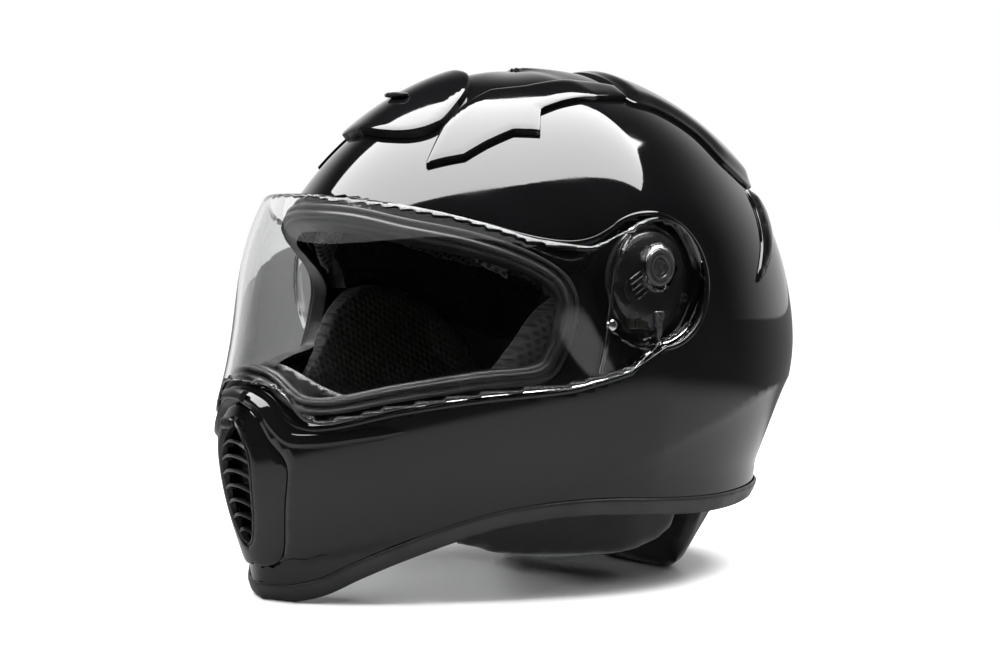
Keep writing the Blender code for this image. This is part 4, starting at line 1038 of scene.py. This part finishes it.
def on_ear(x, y, z, side):
    """A place at an ear, from mm out of the middle plane, back from the crown's axis and up."""
    return x * MM * side, crown_axis.y + y * MM, z * MM


def turned(name, profile, y, z, side, facets=72):
    """A piece turned about an axis along X, from (x, radius) pairs in mm, running outward."""
    shape = bmesh.new()
    rings = []
    for x, radius in profile:
        angles = 2 * math.pi * np.arange(facets) / facets
        rings.append([shape.verts.new(on_ear(x, y + radius * math.cos(a), z + radius * math.sin(a), side))
                      for a in angles])
    for inner, outer in zip(rings, rings[1:]):
        for i in range(facets):
            shape.faces.new((inner[i], inner[i - 1], outer[i - 1], outer[i]))
    shape.faces.new(rings[0])
    shape.faces.new(rings[-1])
    bmesh.ops.recalc_face_normals(shape, faces=shape.faces)
    return mesh_of(name, shape, 32)


DOME_EDGE_X = 113.6
DOME_RISE = 4.3
DOME_RADIUS = 23.9
DOME = [(110.9, 26.9), (112.6, 26.9), (113.2, 26.4), (113.3, 25.2), (112.7, 24.9), (112.7, 24.2),
        (DOME_EDGE_X, DOME_RADIUS)]
DOME += [(DOME_EDGE_X + DOME_RISE * math.sin(a), DOME_RADIUS * math.cos(a))
         for a in np.radians(np.linspace(8, 84, 14))]
HUB = [(111.0, 9.1), (121.2, 9.1), (121.8, 8.7), (122.0, 8.2), (122.0, 7.5), (121.4, 7.2), (121.3, 6.5),
       (121.9, 6.2), (121.9, 4.9), (121.5, 4.6), (120.2, 4.5)]
BUTTON = [(117.0, 4.1), (121.2, 4.1), (121.5, 3.8), (121.6, 3.0), (121.0, 2.8), (121.0, 1.2),
          (121.5, 1.0), (121.5, 0.2)]
SCREW = [(110.9, 2.5), (115.6, 2.5), (116.2, 2.1), (116.4, 1.2), (115.7, 1.0), (115.7, 0.2)]
COMB = [(113.5, 6.4), (116.4, 6.4), (116.6, 6.1), (116.6, 0.2)]
COVER_SCREWS = (("front", -26.75, 167.8), ("rear", 13.3, 145.9))
COMB_PLACE = (-20.5, 151.0)
COMB_RIBS = 5
COMB_PITCH = 2.7
COMB_LEAN = math.radians(30)
LEVER_ROOT = (-5, 137)
LEVER = ((115.2, -8.2, 124.4), (117.9, -1.8, 139.8), 0.0, LEVER_ROOT)
GUIDE = (
    ((112.6, -23.0, 131.4), (115.9, -10.6, 137.0), 0.0, LEVER_ROOT),
    ((115.6, -22.0, 132.2), (116.3, -20.6, 136.2), 0.0, LEVER_ROOT),
    ((115.6, -19.4, 132.2), (116.3, -18.0, 136.2), 0.0, LEVER_ROOT),
)
BAR_EDGE = 0.5 * MM


def add_bar(shape, side, low, high, turn, about):
    """A bar with rounded edges, from corners (x, y, z) in mm, turned in the side view about a place."""
    made = bmesh.ops.create_cube(shape, size=1)["verts"]
    middle, size = (np.array(low) + np.array(high)) / 2, np.array(high) - np.array(low)
    c, s = math.cos(turn), math.sin(turn)
    for vert in made:
        x, y, z = middle + np.array(vert.co) * size
        dy, dz = y - about[0], z - about[1]
        vert.co = on_ear(x, about[0] + c * dy - s * dz, about[1] + s * dy + c * dz, side)
    edges = list({edge for vert in made for edge in vert.link_edges})
    bmesh.ops.bevel(shape, geom=edges, offset=BAR_EDGE, segments=3, affect="EDGES", profile=0.5)


def bars_mesh(name, bars, side):
    shape = bmesh.new()
    for bar in bars:
        add_bar(shape, side, *bar)
    bmesh.ops.recalc_face_normals(shape, faces=shape.faces)
    return mesh_of(name, shape, 50)


def comb_rib(number):
    """One of the comb's ribs, as a bar; the outer ones are shorter."""
    trim, rise = abs(number - 2) * 0.5, number * COMB_PITCH
    low, high = (116.0, -23.4 + trim, 146.6 + rise), (118.1, -13.6 - trim, 147.6 + rise)
    return low, high, COMB_LEAN, (-18.5, 152.5)


SIDES = (("left", 1), ("right", -1))
for name, side in SIDES:
    put(f"hinge_cover_{name}", turned(f"hinge_cover_{name}", DOME, *POCKET, side, 96), "shell",
        [f"pivot_base_{name}"], cover_plastic)
    put(f"hinge_hub_{name}", turned(f"hinge_hub_{name}", HUB, *HINGE, side), "shell",
        [f"pivot_hub_{name}"], hub_plastic)
    put(f"hub_button_{name}", turned(f"hub_button_{name}", BUTTON, *HINGE, side), "shell",
        [f"hub_screw_{name}"], cover_plastic)
    for spot, y, z in COVER_SCREWS:
        put(f"cover_screw_{name}_{spot}", turned(f"cover_screw_{name}_{spot}", SCREW, y, z, side, 32), "shell",
            [f"base_screw_{name}_{spot}"], black_plastic)
    comb = turned(f"detent_comb_{name}", COMB, *COMB_PLACE, side, 40)
    put(f"detent_comb_{name}", comb, "shell", [f"ratchet_comb_{name}"], black_plastic)
    ribs = bars_mesh(f"comb_ribs_{name}", [comb_rib(number) for number in range(COMB_RIBS)], side)
    put(f"comb_ribs_{name}", ribs, "shell", (), hub_plastic)
    lever = bars_mesh(f"lever_arm_{name}", [LEVER], side)
    for vert in lever.vertices:
        # the arm narrows below its root
        share = 1 - 0.78 * smooth(0.140 - vert.co.z, 0.003, 0.016)
        vert.co.y = crown_axis.y - 5 * MM + (vert.co.y - crown_axis.y + 5 * MM) * share
    put(f"lever_arm_{name}", lever, f"release_lever_{name}", [f"release_lever_{name}"],
        steel)
    put(f"lever_guide_{name}", bars_mesh(f"lever_guide_{name}", GUIDE, side), "shell", (),
        lever_plastic)


# ---------------------------------------------------------------- visor rivets and thumb tab
# A domed steel rivet through each ear of the visor, closed over on its inner face.
# A small black plastic tab is bonded to the middle of its lower edge, for a thumb in a glove.

RIVET = [(118.8, 1.7), (121.2, 1.7), (121.2, 2.7), (121.6, 2.5), (122.0, 1.9), (122.2, 1.0), (122.25, 0.2)]
RIVET_PLACE = (-38, 134)
for name, side in SIDES:
    put(f"shield_rivet_{name}", turned(f"shield_rivet_{name}", RIVET, *RIVET_PLACE, side, 32), "visor",
        [f"visor_rivet_{name}"], steel)
TAB = ((-2.6, -0.6), (-2.8, 1.6), (-2.0, 2.6), (0.0, 3.0), (2.2, 2.2), (3.0, 0.4), (2.8, -0.6))
TAB_HALF = 7.6
TAB_HEIGHT = 100.6
TAB_DROOP = 0.8
tab_heights = TAB_HEIGHT - np.linspace(0, 1, 10) ** 2 * TAB_DROOP
tab_across = np.column_stack([np.linspace(0, TAB_HALF, 10), tab_heights])
tab_run = to_map(cast(tab_across, "front", visor_radius)[0])
put("shield_tab", swept_mesh("shield_tab", TAB, *frames_along(tab_run, visor_radius)), "visor",
    ["visor_tab"], black_plastic)


# ---------------------------------------------------------------- visor ear step
# A shallow step moulded across each ear of the visor, where the curved shield meets its flat ear.
# It is the same clear polycarbonate, and stiffens the ear against the pull of the hinge.

STEP = ((-1.5, -0.15), (-1.1, 0.45), (-0.5, 0.7), (0.1, 0.6), (0.7, 0.75), (1.3, 0.4), (1.7, -0.15))
STEP_LINE = ((-26, 176), (-31, 171), (-35, 162), (-38.5, 146), (-41, 126), (-42.5, 111))
step_run = on_side(flowing(STEP_LINE, 1.2), visor_radius)
spots = visor_spots(step_run)
lean = np.gradient(spots, axis=0)
lean /= np.linalg.norm(lean, axis=1)[:, None]
facing = np.array([[1.0, 0.0, 0.0]] * len(spots))
put("ear_step", swept_mesh("ear_step", STEP, spots, facing, np.cross(facing, lean)), "visor", (),
    shield)


# ---------------------------------------------------------------- comfort lining
# Foam pads sewn into knitted spacer net, snapped over the foam: brow, crown, two cheeks and the neck roll.
# Each swells a little between its seams, and the net's open cells show the darker foam behind.


def spacer_net(name, wrap, pitch, thread):
    """Knitted net with round open cells in rows; wrap gives two lengths along the cloth from a point."""
    made, tree, shader = finish_of(name)
    x, y, z = node(tree, "ShaderNodeSeparateXYZ", Vector=place_of(tree)).outputs
    u, v = wrap(tree, x, y, z)
    turn = 2 * math.pi / pitch
    waves = []
    for a, b in ((1.0, 0.0), (0.5, 0.866), (0.5, -0.866)):
        first, second = maths(tree, "MULTIPLY", u, a * turn), maths(tree, "MULTIPLY", v, b * turn)
        waves.append(maths(tree, "COSINE", maths(tree, "ADD", first, second)))
    cells = maths(tree, "ADD", maths(tree, "ADD", waves[0], waves[1]), waves[2])
    above_painted_shade = ease(tree, z, 0.045, 0.085)  # painted shade: below 45 to 85 mm up the net turns plain near black, shading the pads' undersides under the shell's edge
    hole = maths(tree, "MULTIPLY", ease(tree, cells, -0.2, 1.2), above_painted_shade)
    tone = mottled(tree, 35.0, [thread * 0.75] * 3, (thread * 1.2, thread * 1.2, thread * 1.22))
    cloth = mixed(tree, above_painted_shade, (0.0035, 0.0035, 0.0035, 1), tone)
    feed(tree, shader.inputs["Base Color"], mixed(tree, hole, cloth, (0.002, 0.002, 0.002, 1)))
    shader.inputs["Roughness"].default_value = 0.78
    shader.inputs["Sheen Weight"].default_value = 0.25
    shader.inputs["Sheen Roughness"].default_value = 0.4
    height = maths(tree, "SUBTRACT", maths(tree, "MULTIPLY", grain(tree, 1500.0, 2.0), 0.25), hole)
    bump(tree, shader, height, 0.0006, 0.8)
    return made


def side_wrap(tree, x, y, z):
    """For cloth that lies along the helmet's sides."""
    return y, z


def round_wrap(tree, x, y, z):
    """For cloth that goes round the head."""
    around = maths(tree, "ARCTAN2", x, maths(tree, "MULTIPLY", y, -1.0))
    return maths(tree, "MULTIPLY", around, 0.085), z


side_net = spacer_net("cheek net", side_wrap, 0.0033, 0.038)
round_net = spacer_net("brow net", round_wrap, 0.0033, 0.09)
dark_net = spacer_net("neck roll net", side_wrap, 0.0028, 0.009)


def apply_all(thing):
    """Turns a piece's modifiers into its mesh."""
    bpy.context.view_layer.update()
    seen = thing.evaluated_get(bpy.context.evaluated_depsgraph_get())
    mesh = bpy.data.meshes.new_from_object(seen)
    thing.modifiers.clear()
    thing.data = mesh


PAD_GRAIN = 4.5 * MM
PAD_SHRINK = 1.6 * MM  # drawn in first by this, and then swelled back by the air in it
SWELL_TIME = 20
SWELL_PRESSURE = 4
CLOTH_STIFFNESS = 25


def swell(pad):
    """Blows a pad up like a cushion, for a short time."""
    cloth = pad.modifiers.new("cover", "CLOTH")
    cloth.settings.quality = 5
    cloth.settings.use_pressure = True
    cloth.settings.uniform_pressure_force = SWELL_PRESSURE
    cloth.settings.effector_weights.gravity = 0
    cloth.settings.tension_stiffness = CLOTH_STIFFNESS
    cloth.settings.compression_stiffness = CLOTH_STIFFNESS
    cloth.point_cache.frame_start = 1
    cloth.point_cache.frame_end = SWELL_TIME
    for moment in range(1, SWELL_TIME + 1):
        bpy.context.scene.frame_set(moment)
    apply_all(pad)
    bpy.context.scene.frame_set(1)


def swollen(name, cap, floor_z):
    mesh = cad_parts[name].data.copy()
    pad = bpy.data.objects.new(name + "_padding", mesh)
    bpy.context.scene.collection.objects.link(pad)
    remesh = pad.modifiers.new("even", "REMESH")
    remesh.mode = "VOXEL"
    remesh.voxel_size = PAD_GRAIN
    apply_all(pad)
    shape = bmesh.new()
    shape.from_mesh(pad.data)
    for _ in range(2):
        bmesh.ops.smooth_vert(shape, verts=shape.verts, factor=0.5, use_axis_x=True, use_axis_y=True,
                              use_axis_z=True)
    shape.normal_update()
    for vert in shape.verts:
        vert.co -= vert.normal * PAD_SHRINK
    shape.to_mesh(pad.data)
    shape.free()
    before = np.array([tuple(vert.co) for vert in pad.data.vertices])
    swell(pad)
    after = np.array([tuple(vert.co) for vert in pad.data.vertices])
    move = after - before
    size = np.maximum(np.linalg.norm(move, axis=1), 1e-9)
    after = before + move * np.minimum(1, cap / size)[:, None]
    if floor_z is not None:
        after[:, 2] = np.maximum(after[:, 2], floor_z)
    for vert, spot in zip(pad.data.vertices, after):
        vert.co = spot
    finer = pad.modifiers.new("finer", "SUBSURF")
    finer.levels = 1
    finer.render_levels = 1
    apply_all(pad)
    pad.data.shade_smooth()
    return pad


# each pad, its net, how far it may swell, and the floor it stands on, if it does
PADS = (
    ("cheek_pad_left", side_net, 2.2 * MM, None),
    ("cheek_pad_right", side_net, 2.2 * MM, None),
    ("brow_pad", round_net, 1.5 * MM, None),
    ("crown_pad", round_net, 1.5 * MM, None),
    ("neck_roll", dark_net, 2.2 * MM, 0.0),
)
for name, net, cap, floor_z in PADS:
    pad = swollen(name, cap, floor_z)
    pad.data.materials.clear()
    pad.data.materials.append(net)
    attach(pad, "shell")
    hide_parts(name)


# ---------------------------------------------------------------- impact foam
# Two blocks of expanded polystyrene beads, moulded black, between the shell and the lining.
# They crush to take up a blow, and the shell's own curve holds them in.


def dress(names, finish):
    """Gives CAD nodes that keep their shape a finish."""
    for name in names:
        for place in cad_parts[name].material_slots:
            place.link = "OBJECT"
            place.material = finish


def bead_foam():
    made, tree, shader = finish_of("black bead foam")
    beads = node(tree, "ShaderNodeTexVoronoi", Vector=place_of(tree), Scale=330.0)
    from_bead = beads.outputs["Distance"]
    tone = mixed(tree, ease(tree, from_bead, 0.2, 0.6), (0.016, 0.016, 0.017, 1), (0.006, 0.006, 0.006, 1))
    feed(tree, shader.inputs["Base Color"], tone)
    feed(tree, shader.inputs["Roughness"], blotches(tree, 40.0, 0.7, 0.85))
    bump(tree, shader, maths(tree, "MULTIPLY", from_bead, -1.0), 0.0008, 0.6)
    return made


dress(["eps_crown_liner", "eps_chin_liner"], bead_foam())


# ---------------------------------------------------------------- chin strap and buckle
# Black polyester webbing in two halves, riveted inside the shell under small steel plates.
# A ratchet buckle closes it under the chin: a pressed channel, a sprung lever on its pin, a ribbed tongue.

STRAP_Y = -14.0
STRAP_WIDTH = 24.0
SHELL_WALL = 4.5
STRAP_BACKS = ((78, 1.9), (66, 1.9), (55, 2.8), (45, 5.4))
STRAP_CROSSING = ((82, 38.5), (64, 35.2), (46, 34.4), (30, 34.4))


def wall_inside(z, depth):
    """How far out, in mm, a strap lies that hangs a depth inside the shell's wall at a height."""
    edges = np.array([[0, (STRAP_Y + side * STRAP_WIDTH / 2) * MM, z * MM - CENTRE.z] for side in (-1, 1)])
    return float(meet(edges, np.array([[1.0, 0, 0]] * 2)).min()) / MM - SHELL_WALL - depth


def webbing():
    """Flat-woven polyester: ribs along it, broken by the pick, with a bound edge and a slight sheen."""
    made, tree, shader = finish_of("black webbing")
    x, y, z = node(tree, "ShaderNodeSeparateXYZ", Vector=place_of(tree)).outputs
    along = maths(tree, "SINE", maths(tree, "MULTIPLY", maths(tree, "ADD", x, z), 2 * math.pi / 0.0016))
    across = maths(tree, "SINE", maths(tree, "MULTIPLY", y, 2 * math.pi / 0.0012))
    weave = maths(tree, "MULTIPLY", along, across)
    tone = mixed(tree, ease(tree, weave, -0.6, 0.6), (0.005, 0.005, 0.005, 1), (0.016, 0.016, 0.017, 1))
    feed(tree, shader.inputs["Base Color"], tone)
    feed(tree, shader.inputs["Roughness"], blotches(tree, 60.0, 0.55, 0.7))
    bump(tree, shader, weave, 0.0003, 0.6)
    return made


woven = webbing()
band = STRAP_WIDTH / 2
SELVEDGE = (
    (-band, 0), (-band + 0.3, 0.75), (-band + 1.2, 0.85), (0, 0.88), (band - 1.2, 0.85), (band - 0.3, 0.75),
    (band, 0), (band - 0.3, -0.75), (band - 1.2, -0.85), (0, -0.88), (-band + 1.2, -0.85),
    (-band + 0.3, -0.75),
)
for name, side in SIDES:
    hanging = [(wall_inside(z, depth), z) for z, depth in STRAP_BACKS]
    route = flowing((*hanging, *STRAP_CROSSING), 2.0)
    if side < 0:
        route = np.vstack([route, [(22, 36.8)]])
    depths = np.full(len(route), STRAP_Y)
    route = np.column_stack([route[:, 0] * side, depths, route[:, 1] - CENTRE.z / MM]) * MM
    along = np.gradient(route, axis=0)
    along /= np.linalg.norm(along, axis=1)[:, None]
    across = np.array([[0.0, 1.0, 0.0]] * len(route))
    strap = swept_mesh(f"webbing_{name}", SELVEDGE, route, np.cross(along, across), across, False)
    put(f"webbing_{name}", strap, "shell", [f"strap_{name}"], woven)
dress(["anchor_plate_left", "anchor_plate_right", "anchor_rivet_left", "anchor_rivet_right"], steel)
dress(["buckle_body", "buckle_pin", "buckle_lever"], steel)
dress(["ratchet_tongue"], black_plastic)
